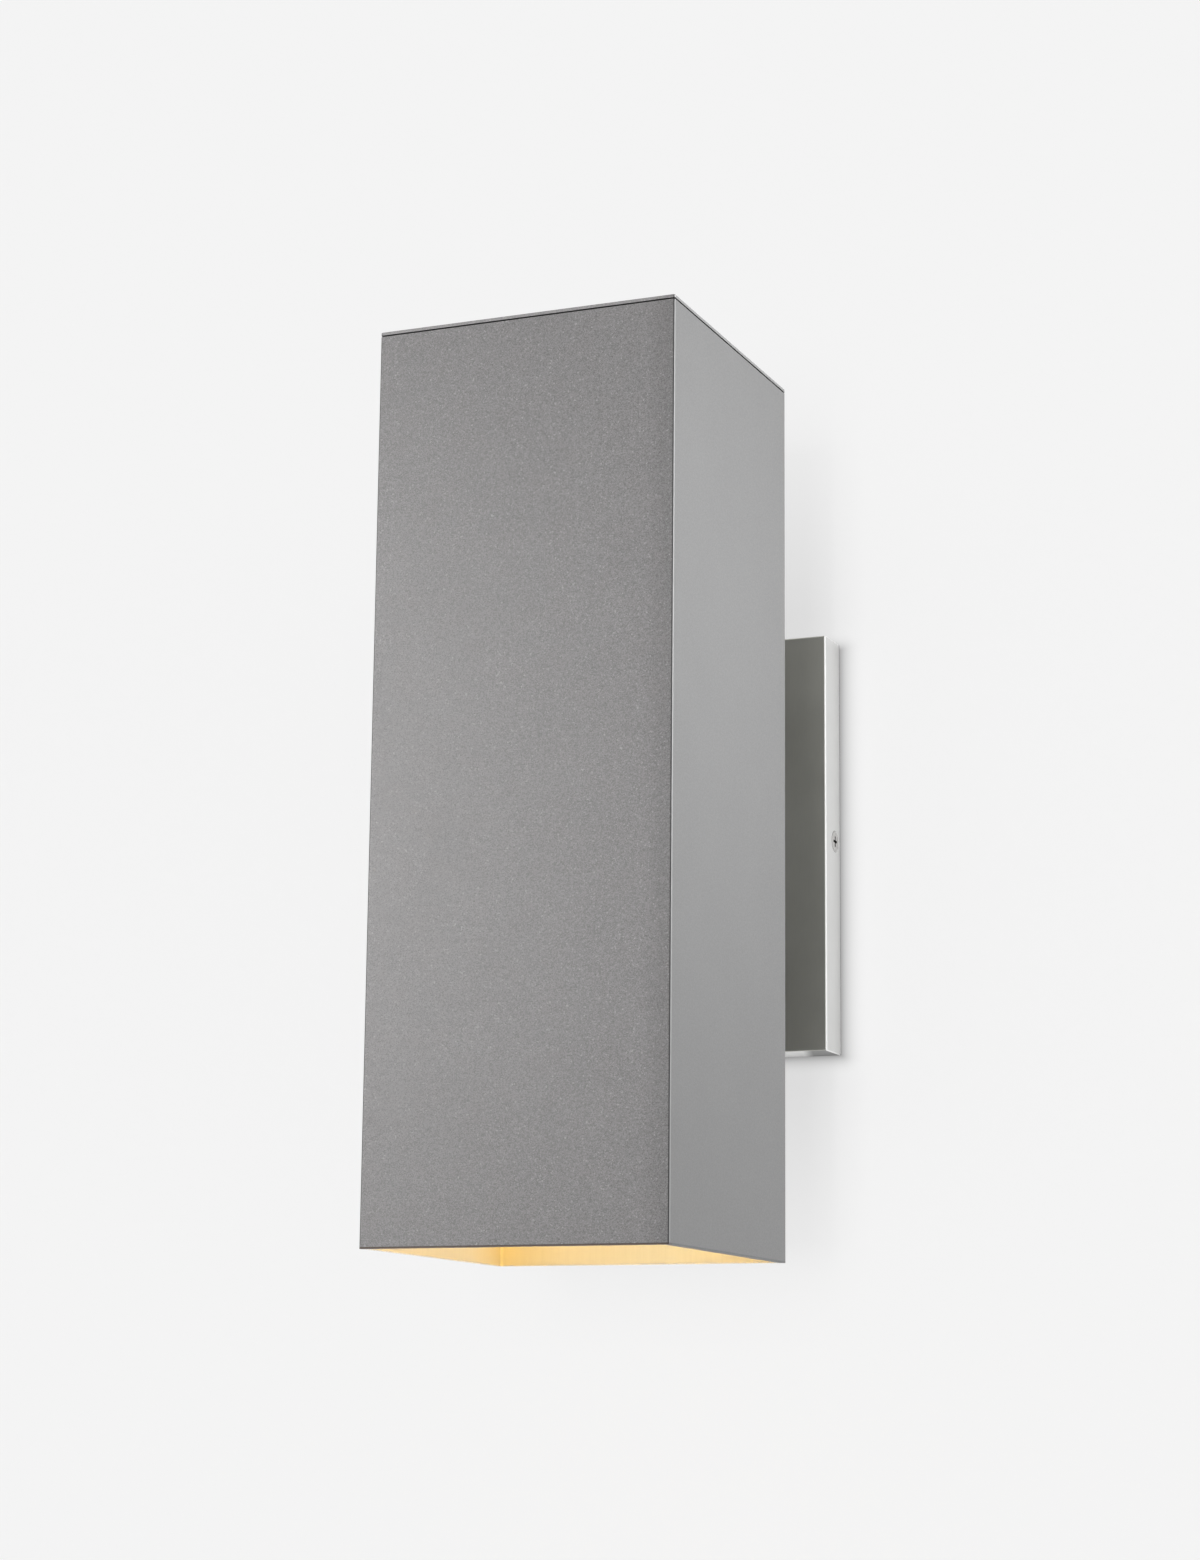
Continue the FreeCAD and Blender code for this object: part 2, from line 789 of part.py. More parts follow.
def make_canopy():
    """Shallow pan over the outlet box, with the arm's holes and two countersunk side holes."""
    body = new_body("canopy_pan")
    outside = sketch_on(body, "XZ_Plane")
    canopy_outline(outside, ZERO)
    pad(body, outside, size.canopy_depth)

    def shown_edge(edge):
        return edge.BoundBox.YMin < -size.canopy_edge.number

    rounded(body, size.canopy_edge, shown_edge)
    inside = sketch_on(body, "XZ_Plane")
    canopy_outline(inside, size.canopy_sheet)
    pocket(body, inside, size.canopy_depth - size.canopy_sheet, reverse=True)
    front = sketch_on(body, "XZ_Plane")
    circle(front, ZERO, ZERO, size.wire_hole_radius)
    port_circles(front, size.arm_screw_radius + size.screw_play)
    pocket(body, front, size.canopy_depth + size.overrun, reverse=True)
    put(body, y=place.canopy_back)
    pan = body
    for side in SIDES:
        turn = FreeCAD.Rotation(FreeCAD.Vector(0, 1, 0), 90 * side)
        sink = doc.addObject("Part::Cone", "screw_sink")
        play = size.screw_play
        sink.setExpression("Radius1", (size.side_screw_radius + play).text)
        sink.setExpression("Radius2", (size.side_screw_head_radius + play / 2).text)
        sink.setExpression("Height", place.side_head_height.text)
        x = (size.canopy_width / 2 - place.side_head_height) * side
        put(sink, x, -size.side_screw_from_wall, ZERO, turn)
        pan = cut("pan_cut", pan, sink)
    node(put(pan), "canopy")


def make_wall_gasket():
    """Thin black bead between the canopy's rim and the wall."""
    body = new_body("wall_gasket")
    sketch = sketch_on(body, "XZ_Plane")
    canopy_outline(sketch, size.wall_gasket_inset)
    canopy_outline(sketch, size.canopy_sheet)
    pad(body, sketch, size.wall_gasket_thickness)
    node(put(body), "wall_gasket")


def make_wall_bracket():
    """Cross of sheet on the outlet box, with slots, a wire hole and tapped collars."""
    tab_outside = size.canopy_width / 2 - size.canopy_sheet - size.tab_gap
    tab_inside = tab_outside - size.bracket_thickness
    half_strip = size.strip_width / 2
    half_height = size.strip_height / 2
    half_cross = size.cross_height / 2
    body = new_body("wall_bracket")
    cross = sketch_on(body, "XZ_Plane")
    quarter = ((tab_outside, half_cross), (half_strip, half_cross), (half_strip, half_height))
    corners = []
    for flip_x, flip_z in ((1, 1), (-1, 1), (-1, -1), (1, -1)):
        turn = quarter if flip_x == flip_z else quarter[::-1]
        corners += [(x * flip_x, z * flip_z) for x, z in turn]
    outline(cross, corners)
    pad(body, cross, size.bracket_thickness)
    tabs = sketch_on(body, "XZ_Plane")
    rectangle(tabs, -tab_outside, -tab_inside, -half_cross, half_cross)
    rectangle(tabs, tab_inside, tab_outside, -half_cross, half_cross)
    pad(body, tabs, size.tab_depth)
    screw_bore = size.side_screw_radius + size.thread_fit
    for side in SIDES:
        collar = sketch_on(body, "YZ_Plane", tab_inside * side)
        circle(collar, -size.side_screw_from_wall, ZERO, screw_bore + size.collar_wall)
        pad(body, collar, size.collar_height, reverse=side > 0)
    side_bores = sketch_on(body, "YZ_Plane")
    circle(side_bores, -size.side_screw_from_wall, ZERO, screw_bore)
    pocket(body, side_bores, size.canopy_width, both_ways=True)
    ground_bore = size.ground_screw_radius + size.thread_fit
    boss = sketch_on(body, "XZ_Plane")
    circle(boss, size.ground_screw_x, size.ground_screw_z, ground_bore + size.collar_wall)
    pad(body, boss, place.ground_face)
    openings = sketch_on(body, "XZ_Plane")
    circle(openings, ZERO, ZERO, size.bracket_hole_radius)
    circle(openings, size.ground_screw_x, size.ground_screw_z, ground_bore)
    run = size.box_slot_length - size.box_slot_radius * 2
    for level in SIDES:
        upright_slot(openings, ZERO, size.box_screw_spacing / 2 * level, size.box_slot_radius, run)
    pocket(body, openings, place.ground_face + size.overrun, reverse=True)
    node(put(body), "wall_bracket")


def make_canopy_screws():
    """Flush cross-recessed screws, left and right, into the bracket's tabs."""
    screws = []
    for side in SIDES:
        body = new_body("canopy_screw")
        sketch = sketch_on(body, "XZ_Plane")
        corners = [
            (ZERO, -size.side_screw_length),
            (size.side_screw_radius, -size.side_screw_length),
            (size.side_screw_radius, -place.side_head_height),
            (size.side_screw_head_radius, ZERO),
            (ZERO, ZERO),
        ]
        outline(sketch, corners)
        turned(body, sketch)
        cross_recess(body, ZERO)
        turn = FreeCAD.Rotation(FreeCAD.Vector(0, 1, 0), 90 * side)
        x = size.canopy_width / 2 * side
        screws.append(put(body, x, -size.side_screw_from_wall, ZERO, turn))
    group("canopy_screws", screws)


def ground_screw_places():
    """Where the two ground screws sit: x, the face they clamp to, z."""
    bracket = (size.ground_screw_x, -place.ground_face, size.ground_screw_z)
    strap = (ZERO, place.strap_face - size.collar_height, place.strap_ground_z)
    return bracket, strap


def make_ground_screws():
    """One screw on the wall bracket and one on the socket bracket, each through a ring terminal."""
    screws = []
    seats = (place.ground_face, size.strap_thickness + size.collar_height)
    for (x, y, z), thickness in zip(ground_screw_places(), seats):
        length = size.ring_thickness + thickness - size.ground_screw_tip_gap
        body = pan_head_screw(
            "ground_screw",
            size.ground_screw_radius,
            length,
            size.ground_screw_head_radius,
            size.ground_screw_head_height,
        )
        screws.append(put(body, x, y - size.ring_thickness, z, TURNED_FROM_WALL))
    group("ground_screws", screws)


def make_ring_terminals():
    """Crimp rings under the ground screws, with their barrels pointing down."""
    rings = []
    for x, y, z in ground_screw_places():
        eye = cylinder("ring_eye", size.ring_radius, size.ring_thickness)
        tongue_top = (size.ring_barrel_radius, ZERO, size.ring_thickness)
        tongue_low = (-size.ring_barrel_radius, -size.ring_reach, ZERO)
        tongue = block("ring_tongue", tongue_low, tongue_top)
        far_end = -size.ring_reach
        barrel = cylinder(
            "ring_barrel",
            size.ring_barrel_radius,
            size.ring_barrel_length,
            y=far_end,
            z=size.ring_barrel_radius,
            turn=TURNED_FROM_WALL,
        )
        bore = cylinder(
            "ring_bore",
            size.lead_radius + size.thread_fit,
            size.ring_barrel_length + size.overrun,
            y=far_end - size.ring_thickness,
            z=size.ring_barrel_radius,
            turn=TURNED_FROM_WALL,
        )
        hole = cylinder("ring_hole", size.ground_screw_radius + size.screw_play / 2, size.ring_thickness)
        solid = fuse("ring_blank", [eye, tongue, barrel])
        ring = cut("ring_terminal", solid, fuse("ring_openings", [bore, hole]))
        rings.append(put(ring, x, y, z, TURNED_FROM_WALL))
    group("ring_terminals", rings)


# Socket


def make_socket_bracket():
    """L of sheet: the leg under the arm's front screws, the flange over the lamp."""
    body = new_body("socket_bracket")
    foot = -(place.port_z + size.strap_end)
    back = place.tube_inside
    front = place.strap_face
    reach = place.tube_axis - size.flange_beyond_axis
    side_view = sketch_on(body, "YZ_Plane")
    corners = [
        (back, foot),
        (back, place.flange_top),
        (reach, place.flange_top),
        (reach, place.flange_under),
        (front, place.flange_under),
        (front, foot),
    ]
    outline(side_view, corners)
    pad(body, side_view, size.strap_width, both_ways=True)

    def inner_bend(edge):
        middle = edge.CenterOfMass
        at_bend = near(middle.y, front.number) and near(middle.z, place.flange_under.number)
        return at_bend and along(edge, 0)

    def outer_bend(edge):
        middle = edge.CenterOfMass
        at_bend = near(middle.y, back.number) and near(middle.z, place.flange_top.number)
        return at_bend and along(edge, 0)

    def flange_corner(edge):
        middle = edge.CenterOfMass
        return near(middle.y, reach.number) and along(edge, 2)

    rounded(body, size.strap_bend - size.strap_thickness, inner_bend)
    rounded(body, size.strap_bend, outer_bend)
    rounded(body, size.flange_corner, flange_corner)
    ground_bore = size.ground_screw_radius + size.thread_fit
    boss = sketch_on(body, "XZ_Plane", -back)
    circle(boss, ZERO, place.strap_ground_z, ground_bore + size.collar_wall)
    pad(body, boss, size.strap_thickness + size.collar_height)
    leg_holes = sketch_on(body, "XZ_Plane", -back)
    circle(leg_holes, ZERO, ZERO, size.strap_hole_radius)
    circle(leg_holes, ZERO, place.strap_ground_z, ground_bore)
    port_circles(leg_holes, size.arm_screw_radius + size.screw_play)
    deep = size.strap_thickness + size.collar_height + size.overrun
    pocket(body, leg_holes, deep, reverse=True)
    flange_holes = sketch_on(body, "XY_Plane", place.flange_top)
    circle(flange_holes, ZERO, place.tube_axis, size.nipple_radius + size.screw_play)
    circle(flange_holes, ZERO, place.lead_lane, size.lead_hole_radius)
    pocket(body, flange_holes, size.strap_thickness + size.overrun)
    node(put(body), "socket_bracket")


def make_socket_nipple():
    """Threaded tube that hangs the lampholder from the flange and passes the leads."""
    top = place.flange_top + size.locknut_height + size.nipple_above_nut
    foot = place.cap_top - size.nipple_into_cap
    outside = cylinder("nipple_outside", size.nipple_radius, top - foot)
    bore = cylinder("nipple_bore", size.nipple_bore_radius, top - foot)
    nipple = cut("socket_nipple", outside, bore)
    node(put(nipple, y=place.tube_axis, z=foot), "socket_nipple")


def make_socket_locknuts():
    """Nuts above and below the flange."""
    nuts = []
    for z in (place.flange_top, place.cap_top):
        blank = hexagon("locknut_blank", size.locknut_flats, size.locknut_height)
        thread = cylinder("locknut_thread", size.nipple_radius + size.thread_fit, size.locknut_height)
        nuts.append(put(cut("socket_locknut", blank, thread), y=place.tube_axis, z=z))
    group("socket_locknuts", nuts)


def make_socket_cap():
    """Bell over the terminals, screwed to the nipple."""
    body = new_body("socket_cap")
    sketch = sketch_on(body, "XZ_Plane")
    grip = size.nipple_radius + size.thread_fit
    shoulder = -size.cap_shoulder_height
    inner_collar = -(size.cap_collar_height + size.cap_roof)
    corners = [
        (grip, ZERO),
        (size.cap_collar_radius, ZERO),
        (size.cap_collar_radius, -size.cap_collar_height),
        (size.cap_radius, shoulder),
        (size.cap_radius, -size.cap_height),
        (size.cap_cavity_radius, -size.cap_height),
        (size.cap_cavity_radius, shoulder - size.cap_roof),
        (size.cap_collar_radius, inner_collar),
        (grip, inner_collar),
    ]
    outline(sketch, corners)
    turned(body, sketch)
    put(body, y=place.tube_axis, z=place.cap_top)
    node(body, "socket_cap")


def make_socket_body():
    """Insulating cup: a web under the terminals and a bore round the screw shell."""
    body = new_body("socket_body")
    sketch = sketch_on(body, "XZ_Plane")
    foot = -size.socket_height
    step = foot + size.socket_foot_height
    slope = size.socket_radius - size.socket_foot_radius
    corners = [
        (ZERO, ZERO),
        (size.socket_radius, ZERO),
        (size.socket_radius, step),
        (size.socket_foot_radius, step - slope),
        (size.socket_foot_radius, foot),
        (place.socket_bore, foot),
        (place.socket_bore, -size.socket_web),
        (ZERO, -size.socket_web),
    ]
    outline(sketch, corners)
    turned(body, sketch)
    holes = sketch_on(body, "XY_Plane")
    for x in (place.line_screw_x, place.neutral_screw_x):
        circle(holes, x, ZERO, size.terminal_screw_radius + size.thread_fit)
    pocket(body, holes, size.socket_web + size.overrun)
    put(body, y=place.tube_axis, z=place.cap_foot)
    node(body, "socket_body")


def make_screw_shell():
    """Thin metal cup that takes the lamp's thread, with a wide eye round the centre contact."""
    body = new_body("screw_shell")
    sketch = sketch_on(body, "XZ_Plane")
    corners = [
        (size.shell_eye_radius, ZERO),
        (place.shell_outside, ZERO),
        (place.shell_outside, -size.shell_length),
        (place.shell_bore, -size.shell_length),
        (place.shell_bore, -size.shell_thickness),
        (size.shell_eye_radius, -size.shell_thickness),
    ]
    outline(sketch, corners)
    turned(body, sketch)
    hole = sketch_on(body, "XY_Plane")
    circle(hole, place.neutral_screw_x, ZERO, size.terminal_screw_radius + size.thread_fit)
    pocket(body, hole, size.shell_thickness + size.overrun)
    put(body, y=place.tube_axis, z=place.web_under)
    node(body, "screw_shell")


def make_centre_contact():
    """Spring tongue under the web, bent down to meet the lamp's tip."""
    body = new_body("centre_contact")
    sketch = sketch_on(body, "XZ_Plane")
    sheet = size.contact_sheet
    start = place.line_screw_x - size.contact_foot
    bend = place.line_screw_x + size.contact_foot
    low = -size.contact_drop
    corners = [
        (start, ZERO),
        (start, -sheet),
        (bend, -sheet),
        (ZERO, low),
        (size.contact_foot, low),
        (size.contact_foot, low + sheet),
        (sheet / 2, low + sheet),
        (bend + sheet, ZERO),
    ]
    outline(sketch, corners)
    pad(body, sketch, size.contact_width, both_ways=True)
    hole = sketch_on(body, "XY_Plane")
    circle(hole, place.line_screw_x, ZERO, size.terminal_screw_radius + size.thread_fit)
    pocket(body, hole, sheet + size.overrun)
    put(body, y=place.tube_axis, z=place.web_under)
    node(body, "centre_contact")


def make_terminal_screws():
    """Line and neutral screws through the web."""
    screws = []
    metals = (size.contact_sheet, size.shell_thickness)
    for x, metal in zip((place.line_screw_x, place.neutral_screw_x), metals):
        body = pan_head_screw(
            "terminal_screw",
            size.terminal_screw_radius,
            size.socket_web + metal,
            size.terminal_head_radius,
            size.terminal_head_height,
        )
        screws.append(put(body, x, place.tube_axis, place.cap_foot))
    group("terminal_screws", screws)


# Lamp


def make_lamp_cap_shell():
    """Threaded cap with a rounded wave for its thread, rolled from thin sheet."""
    crest = size.lamp_cap_radius.number
    depth = size.lamp_thread_depth.number
    root = crest - depth
    inside = root - size.lamp_cap_sheet.number
    half_pitch = size.lamp_thread_pitch.number / 2
    height = size.lamp_cap_height.number
    wave = half_pitch * 2 * THREAD_TURNS
    start = (height - wave) / 2

    def at(radius, level):
        return FreeCAD.Vector(radius, 0, level)

    edges = []
    level = start
    for _ in range(THREAD_TURNS):
        top = level + half_pitch
        end = top + half_pitch
        middle = (root + crest) / 2
        out = Part.Arc(at(middle, level), at(crest, level + half_pitch / 2), at(middle, top))
        back = Part.Arc(at(middle, top), at(root, top + half_pitch / 2), at(middle, end))
        edges += [out.toShape(), back.toShape()]
        level = end
    middle = (root + crest) / 2
    rest = [
        at(middle, level),
        at(root, level),
        at(root, height),
        at(inside, height),
        at(inside, 0),
        at(root, 0),
        at(root, start),
        at(middle, start),
    ]
    edges += [Part.LineSegment(a, b).toShape() for a, b in zip(rest, rest[1:])]
    face = Part.Face(Part.Wire(edges))
    item = doc.addObject("Part::Feature", "lamp_cap_shell")
    item.Shape = face.revolve(FreeCAD.Vector(), UP, 360)
    put(item, y=place.tube_axis, z=place.lamp_neck)
    node(item, "lamp_cap_shell")


def make_lamp_cap_end():
    """Dark glass cone closing the cap, and the tip contact on it."""
    root = size.lamp_cap_radius - size.lamp_thread_depth
    cone = frustum(
        "lamp_cap_insulator",
        root,
        size.lamp_insulator_radius,
        size.lamp_insulator_height,
        y=place.tube_axis,
        z=place.lamp_cap_top,
    )
    node(cone, "lamp_cap_insulator")
    tip = frustum(
        "lamp_contact",
        size.lamp_contact_radius,
        size.lamp_contact_radius - size.lamp_contact_height / 2,
        size.lamp_contact_height,
        y=place.tube_axis,
        z=place.insulator_top,
    )
    node(tip, "lamp_contact")


def make_lamp_heat_sink():
    """Tapered hollow collar between the cap and the globe."""
    wall = size.sink_wall
    outside = frustum("sink_outside", size.sink_rim_radius, size.sink_neck_radius, size.sink_height)
    inside = frustum(
        "sink_inside",
        size.sink_rim_radius - wall,
        size.sink_neck_radius - wall,
        size.sink_height - wall,
    )
    sink = cut("lamp_heat_sink", outside, inside)
    node(put(sink, y=place.tube_axis, z=place.lamp_waist), "lamp_heat_sink")


def make_lamp_led_board():
    """Round board on a post that stands on the heat sink's roof."""
    board = cylinder("board_disc", size.led_board_radius, size.led_board_thickness)
    post_height = size.sink_height - size.sink_wall
    post = cylinder("board_post", size.led_board_post_radius, post_height)
    board = fuse("lamp_led_board", [board, post])
    node(put(board, y=place.tube_axis, z=place.lamp_waist), "lamp_led_board")


def make_lamp_globe():
    """Frosted dome, its open rim against the heat sink."""
    rim = size.sink_rim_radius - size.globe_rim_step
    centre = -third_side(size.globe_radius, rim)
    outside = sphere("globe_outside", size.globe_radius, centre)
    inside = sphere("globe_inside", size.globe_radius - size.globe_wall, centre)
    reach = size.globe_radius + size.overrun
    upper = block("globe_upper", (-reach, -reach, ZERO), (reach, reach, reach))
    globe = cut("lamp_globe", outside, fuse("globe_removed", [inside, upper]))
    node(put(globe, y=place.tube_axis, z=place.lamp_waist), "lamp_globe")


# Leads


def rounded_path(points, bends):
    """Straight runs joined by tangent arcs, each no larger than its runs and its bend allow."""
    edges = []
    radii = []
    start = points[0]
    for index in range(1, len(points) - 1):
        corner = points[index]
        before = points[index - 1] - corner
        after = points[index + 1] - corner
        half_turn = (math.pi - before.getAngle(after)) / 2
        room = RUN_SHARE * min(before.Length, after.Length) / math.tan(half_turn)
        radius = min(room, bends[index - 1].number)
        tangent = radius * math.tan(half_turn)
        arc_start = corner + before.normalize() * tangent
        arc_end = corner + after.normalize() * tangent
        inward = (before + after).normalize()
        arc_middle = corner + inward * (radius / math.cos(half_turn) - radius)
        edges.append(Part.LineSegment(start, arc_start).toShape())
        edges.append(Part.Arc(arc_start, arc_middle, arc_end).toShape())
        radii.append(radius)
        start = arc_end
    edges.append(Part.LineSegment(start, points[-1]).toShape())
    return Part.Wire(edges), radii


def make_lead(name, points, bends):
    """One insulated lead along its route."""
    route, radii = rounded_path([vector(*point) for point in points], bends)
    first = route.Edges[0]
    direction = first.tangentAt(first.FirstParameter)
    section = Part.Wire(Part.Circle(first.Vertexes[0].Point, direction, size.lead_radius.number).toShape())
    item = doc.addObject("Part::Feature", name)
    item.Shape = route.makePipeShell([section], True, True)
    put(item)
    node(item, name)
    expected = math.pi * size.lead_radius.number**2 * route.Length
    share = item.Shape.Volume / expected
    print(name, "length", round(route.Length, 1), "radii", [round(r, 2) for r in radii])
    print(name, "volume over section times length", round(share, 4))


def make_circuit_lead(name, side, end_x):
    """Line or neutral: lamp terminal, nipple, down the back, through the arm, to a connector."""
    x = place.lead_x * side
    lane_z = -size.lead_spacing * LOW_LEAD_SHARE
    end_z = place.cap_foot + size.lead_end_gap
    cap_inside = place.cap_top - size.nipple_into_cap
    depth = -size.lead_in_canopy
    mouth = -size.connector_z
    connector_x = size.connector_x * side
    turn_z = mouth + size.lead_radius * 2
    points = [
        (end_x, place.tube_axis, end_z),
        (end_x, place.tube_axis, end_z + size.lead_radius * 2),
        (x, place.tube_axis, cap_inside - size.lead_radius * 2),
        (x, place.tube_axis, place.lead_top_z),
        (x, place.lead_lane, place.lead_top_z),
        (x, place.lead_lane, lane_z),
        (x, depth, lane_z),
        (connector_x, depth, turn_z),
        (connector_x, depth, mouth - place.lead_in_connector),
    ]
    large = size.lead_bend
    small = size.lead_small_bend
    make_lead(name, points, [small, small, large, large, size.lead_entry_bend, small, small])


def make_ground_leads():
    """Ground lead from the socket bracket, and the pigtail from the wall bracket."""
    _, (_, strap_y, strap_z) = ground_screw_places()
    (bracket_x, bracket_y, bracket_z), _ = ground_screw_places()
    barrel_gap = size.ring_reach + size.ring_barrel_length / 2
    lane_y = strap_y - size.ring_barrel_radius
    pigtail_y = bracket_y - size.ring_barrel_radius
    lead_y = pigtail_y - size.lead_spacing
    lane_z = size.lead_spacing * HIGH_LEAD_SHARE
    turn_z = size.connector_z - size.lead_radius * 2
    end_z = size.connector_z + place.lead_in_connector
    small = size.lead_small_bend
    lead = [
        (ZERO, lane_y, strap_z - barrel_gap),
        (ZERO, lane_y, lane_z),
        (ZERO, lead_y, lane_z),
        (size.connector_x, lead_y, turn_z),
        (size.connector_x, lead_y, end_z),
    ]
    make_lead("ground_lead", lead, [small, small, small])
    dip = size.pigtail_dip
    pigtail = [
        (bracket_x, pigtail_y, bracket_z - barrel_gap),
        (bracket_x, pigtail_y, dip),
        (size.connector_x, pigtail_y, dip),
        (size.connector_x, pigtail_y, end_z),
    ]
    make_lead("ground_pigtail", pigtail, [small, small])


def make_wire_connectors():
    """Twist-on caps in the canopy: line and neutral below the middle, ground above."""
    pigtail_y = -place.ground_face - size.ring_barrel_radius
    ground_y = pigtail_y - size.lead_spacing / 2
    spots = (
        (-size.connector_x, -size.lead_in_canopy, -size.connector_z, TURNED_OVER),
        (size.connector_x, -size.lead_in_canopy, -size.connector_z, TURNED_OVER),
        (size.connector_x, ground_y, size.connector_z, None),
    )
    caps = []
    for x, y, z, turn in spots:
        outside = frustum(
            "connector_outside",
            size.connector_mouth_radius,
            size.connector_tip_radius,
            size.connector_length,
        )
        bore = cylinder("connector_bore", size.connector_bore_radius, size.connector_bore_depth)
        caps.append(put(cut("wire_connector", outside, bore), x, y, z, turn))
    group("wire_connectors", caps)


def check(items):
    """Stops unless every object is sound and every piece has a valid shape."""
    for item in doc.Objects:
        if "Invalid" in item.State or "Error" in item.State:
            raise RuntimeError(f"{item.Name} ({item.Label}) failed: {item.State}")
    for item in items:
        if item.Shape.isNull() or not item.Shape.isValid() or not item.Shape.Solids:
            raise RuntimeError(f"{item.Label} has no valid shape")


def write(items):
    os.makedirs("parts", exist_ok=True)
    for item in items:
        item.Shape.exportStep(f"parts/{item.Label}.step")


make_housing()
make_lid()
make_lid_gasket()
make_lid_crossbars()
make_lid_fixings()
make_arm()
make_arm_gasket("arm_front_gasket", place.tube_back + size.arm_gasket_thickness)
make_arm_gasket("arm_rear_gasket", place.canopy_face)
make_arm_screws("arm_front_screws", place.strap_face, TURNED_FROM_WALL)
make_arm_screws("arm_rear_screws", place.canopy_inside, TURNED_TO_WALL)
make_wire_bushings()
make_canopy()
make_wall_gasket()
make_wall_bracket()
make_canopy_screws()
make_ground_screws()
make_ring_terminals()
make_socket_bracket()
make_socket_nipple()
make_socket_locknuts()
make_socket_cap()
make_socket_body()
make_screw_shell()
make_centre_contact()
make_terminal_screws()
make_lamp_cap_shell()
make_lamp_cap_end()
make_lamp_heat_sink()
make_lamp_led_board()
make_lamp_globe()
line_end = place.line_screw_x + size.terminal_head_radius + size.lead_radius + size.lead_end_gap
neutral_reach = size.terminal_head_radius + size.lead_radius + size.lead_end_gap
make_circuit_lead("line_lead", -1, line_end)
make_circuit_lead("neutral_lead", 1, place.neutral_screw_x - neutral_reach)
make_ground_leads()
make_wire_connectors()
doc.recompute()
check(nodes)
write(nodes)
print(len(nodes), "nodes")
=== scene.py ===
import math

import bpy
from mathutils import Matrix, Vector


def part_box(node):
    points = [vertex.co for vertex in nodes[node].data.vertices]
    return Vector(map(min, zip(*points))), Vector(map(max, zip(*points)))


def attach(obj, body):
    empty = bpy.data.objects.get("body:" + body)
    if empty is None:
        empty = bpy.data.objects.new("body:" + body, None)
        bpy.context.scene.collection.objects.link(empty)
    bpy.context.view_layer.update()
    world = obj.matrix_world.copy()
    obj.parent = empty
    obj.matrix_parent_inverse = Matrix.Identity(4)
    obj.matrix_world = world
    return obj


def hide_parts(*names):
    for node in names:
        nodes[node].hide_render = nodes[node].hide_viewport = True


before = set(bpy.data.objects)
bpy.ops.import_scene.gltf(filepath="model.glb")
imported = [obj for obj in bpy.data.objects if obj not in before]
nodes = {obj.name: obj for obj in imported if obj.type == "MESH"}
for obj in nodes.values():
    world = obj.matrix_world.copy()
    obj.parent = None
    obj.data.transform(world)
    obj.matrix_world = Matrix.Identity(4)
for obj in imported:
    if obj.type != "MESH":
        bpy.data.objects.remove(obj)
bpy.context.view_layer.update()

# The photograph's frame, and the camera that was fitted to the tube's corners in it
PHOTO_HEIGHT_PX = 1560
FOCAL_PX = 3297.5
SENSOR_MM = 36
CAMERA_YAW = 0.39935
CAMERA_PITCH = 0.19970
CAMERA_ROLL = 0.01028
# From the foot of the tube's back wall, in shares of the tube's height
CAMERA_SHARES = (1.40584, -3.45823, -0.20111)

MM = 0.001

housing_low, housing_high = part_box("housing")
canopy_low, canopy_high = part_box("canopy")
globe_low, globe_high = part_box("lamp_globe")
screw_low, screw_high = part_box("canopy_screws")
tube_height = housing_high.z - housing_low.z
tube_axis = (housing_low.y + housing_high.y) / 2
half_tube = (housing_high.x - housing_low.x) / 2
screw_middle = (screw_low + screw_high) / 2

# Backdrop and light levels, where 1 is white
BACKGROUND = (0.905, 0.905, 0.905)
WALL_SHINE = 0.72
# Above and below the object the wall's glow takes this larger share, which paints the object's shadow fainter
# there
WALL_SHINE_PAST_ENDS = 0.92
WALL_COLOUR = (0.84, 0.84, 0.84)
STAGE_REACH = 4.0
FLOOR_DROP = 1.6
SKY_LEVEL = 0.50
FLOOR_LEVEL = 0.20

# The canopy's contact shade on the wall, less wide by the lit side above and on the left
CONTACT_REACH = 11 * MM
CONTACT_FALL = 3.2
CONTACT_LEVEL = 0.50
LIT_SIDE = 2.0 * MM

# Lamps on the object: place, target, side of the square, watts and spread in degrees
OBJECT_LAMPS = {
    "left_lamp": ((-0.62, -0.82, 0.15), (-0.04, -0.16, 0.0), 0.45, 1.20, 120),
    "right_lamp": ((0.33, -0.15, 0.09), (0.053, -0.1, 0.07), 0.20, 0.570, 120),
    "back_lamp": ((0.3, 1.2, 0.3), (0, 0, 0), 0.8, 3, 180),
}
# Its mirror image would burn out the right sides of the tube and the canopy
LAMP_WITHOUT_IMAGE = "right_lamp"

# Far lamps on the wall alone: place across, width and share of the watts
WALL_LAMPS = {"wall_lamp": (0.01, 0.68, 0.62), "wall_lamp_right": (0.825, 0.95, 0.38)}
WALL_LAMP_WATTS = 238
WALL_LAMP_Y = -5.9
WALL_LAMP_Z = -0.206
WALL_LAMP_TALL = 2.08

# The lit globe: its level for the eye, and its output and colour for the lining
GLOBE_SEEN = 0.80
GLOBE_OUTPUT = 29.0
GLOBE_COLOUR = (1.0, 0.675, 0.179)

# Sizes that the nodes' boxes don't give
TUBE_SHEET = 2.4 * MM
FLAKE = 0.34 * MM
SAND = 0.25 * MM
SPECK = 0.42 * MM
EMITTER_PITCH = 6 * MM
# Radii at which the gap round a side screw starts, is full, fades and ends
SEAM_RADII = (3.50 * MM, 3.62 * MM, 3.80 * MM, 4.00 * MM)

# Painted light and shade as factors on a surface's own colour, and the paint's metallic share
LID_PAINTED_LIGHT = 1.3
PAINT_METAL = 0.5
# A painted shade band by the right corner, and a painted dark line and a painted highlight on the front
# corners
BAND_SHADE = 0.87
CORNER_SHADE = 0.28
CORNER_HIGHLIGHT = 1.8
LINING_LEFT_SHADE = 0.89
LINING_TOP_SHADE = 0.35
RECESS_SHADE = 0.25

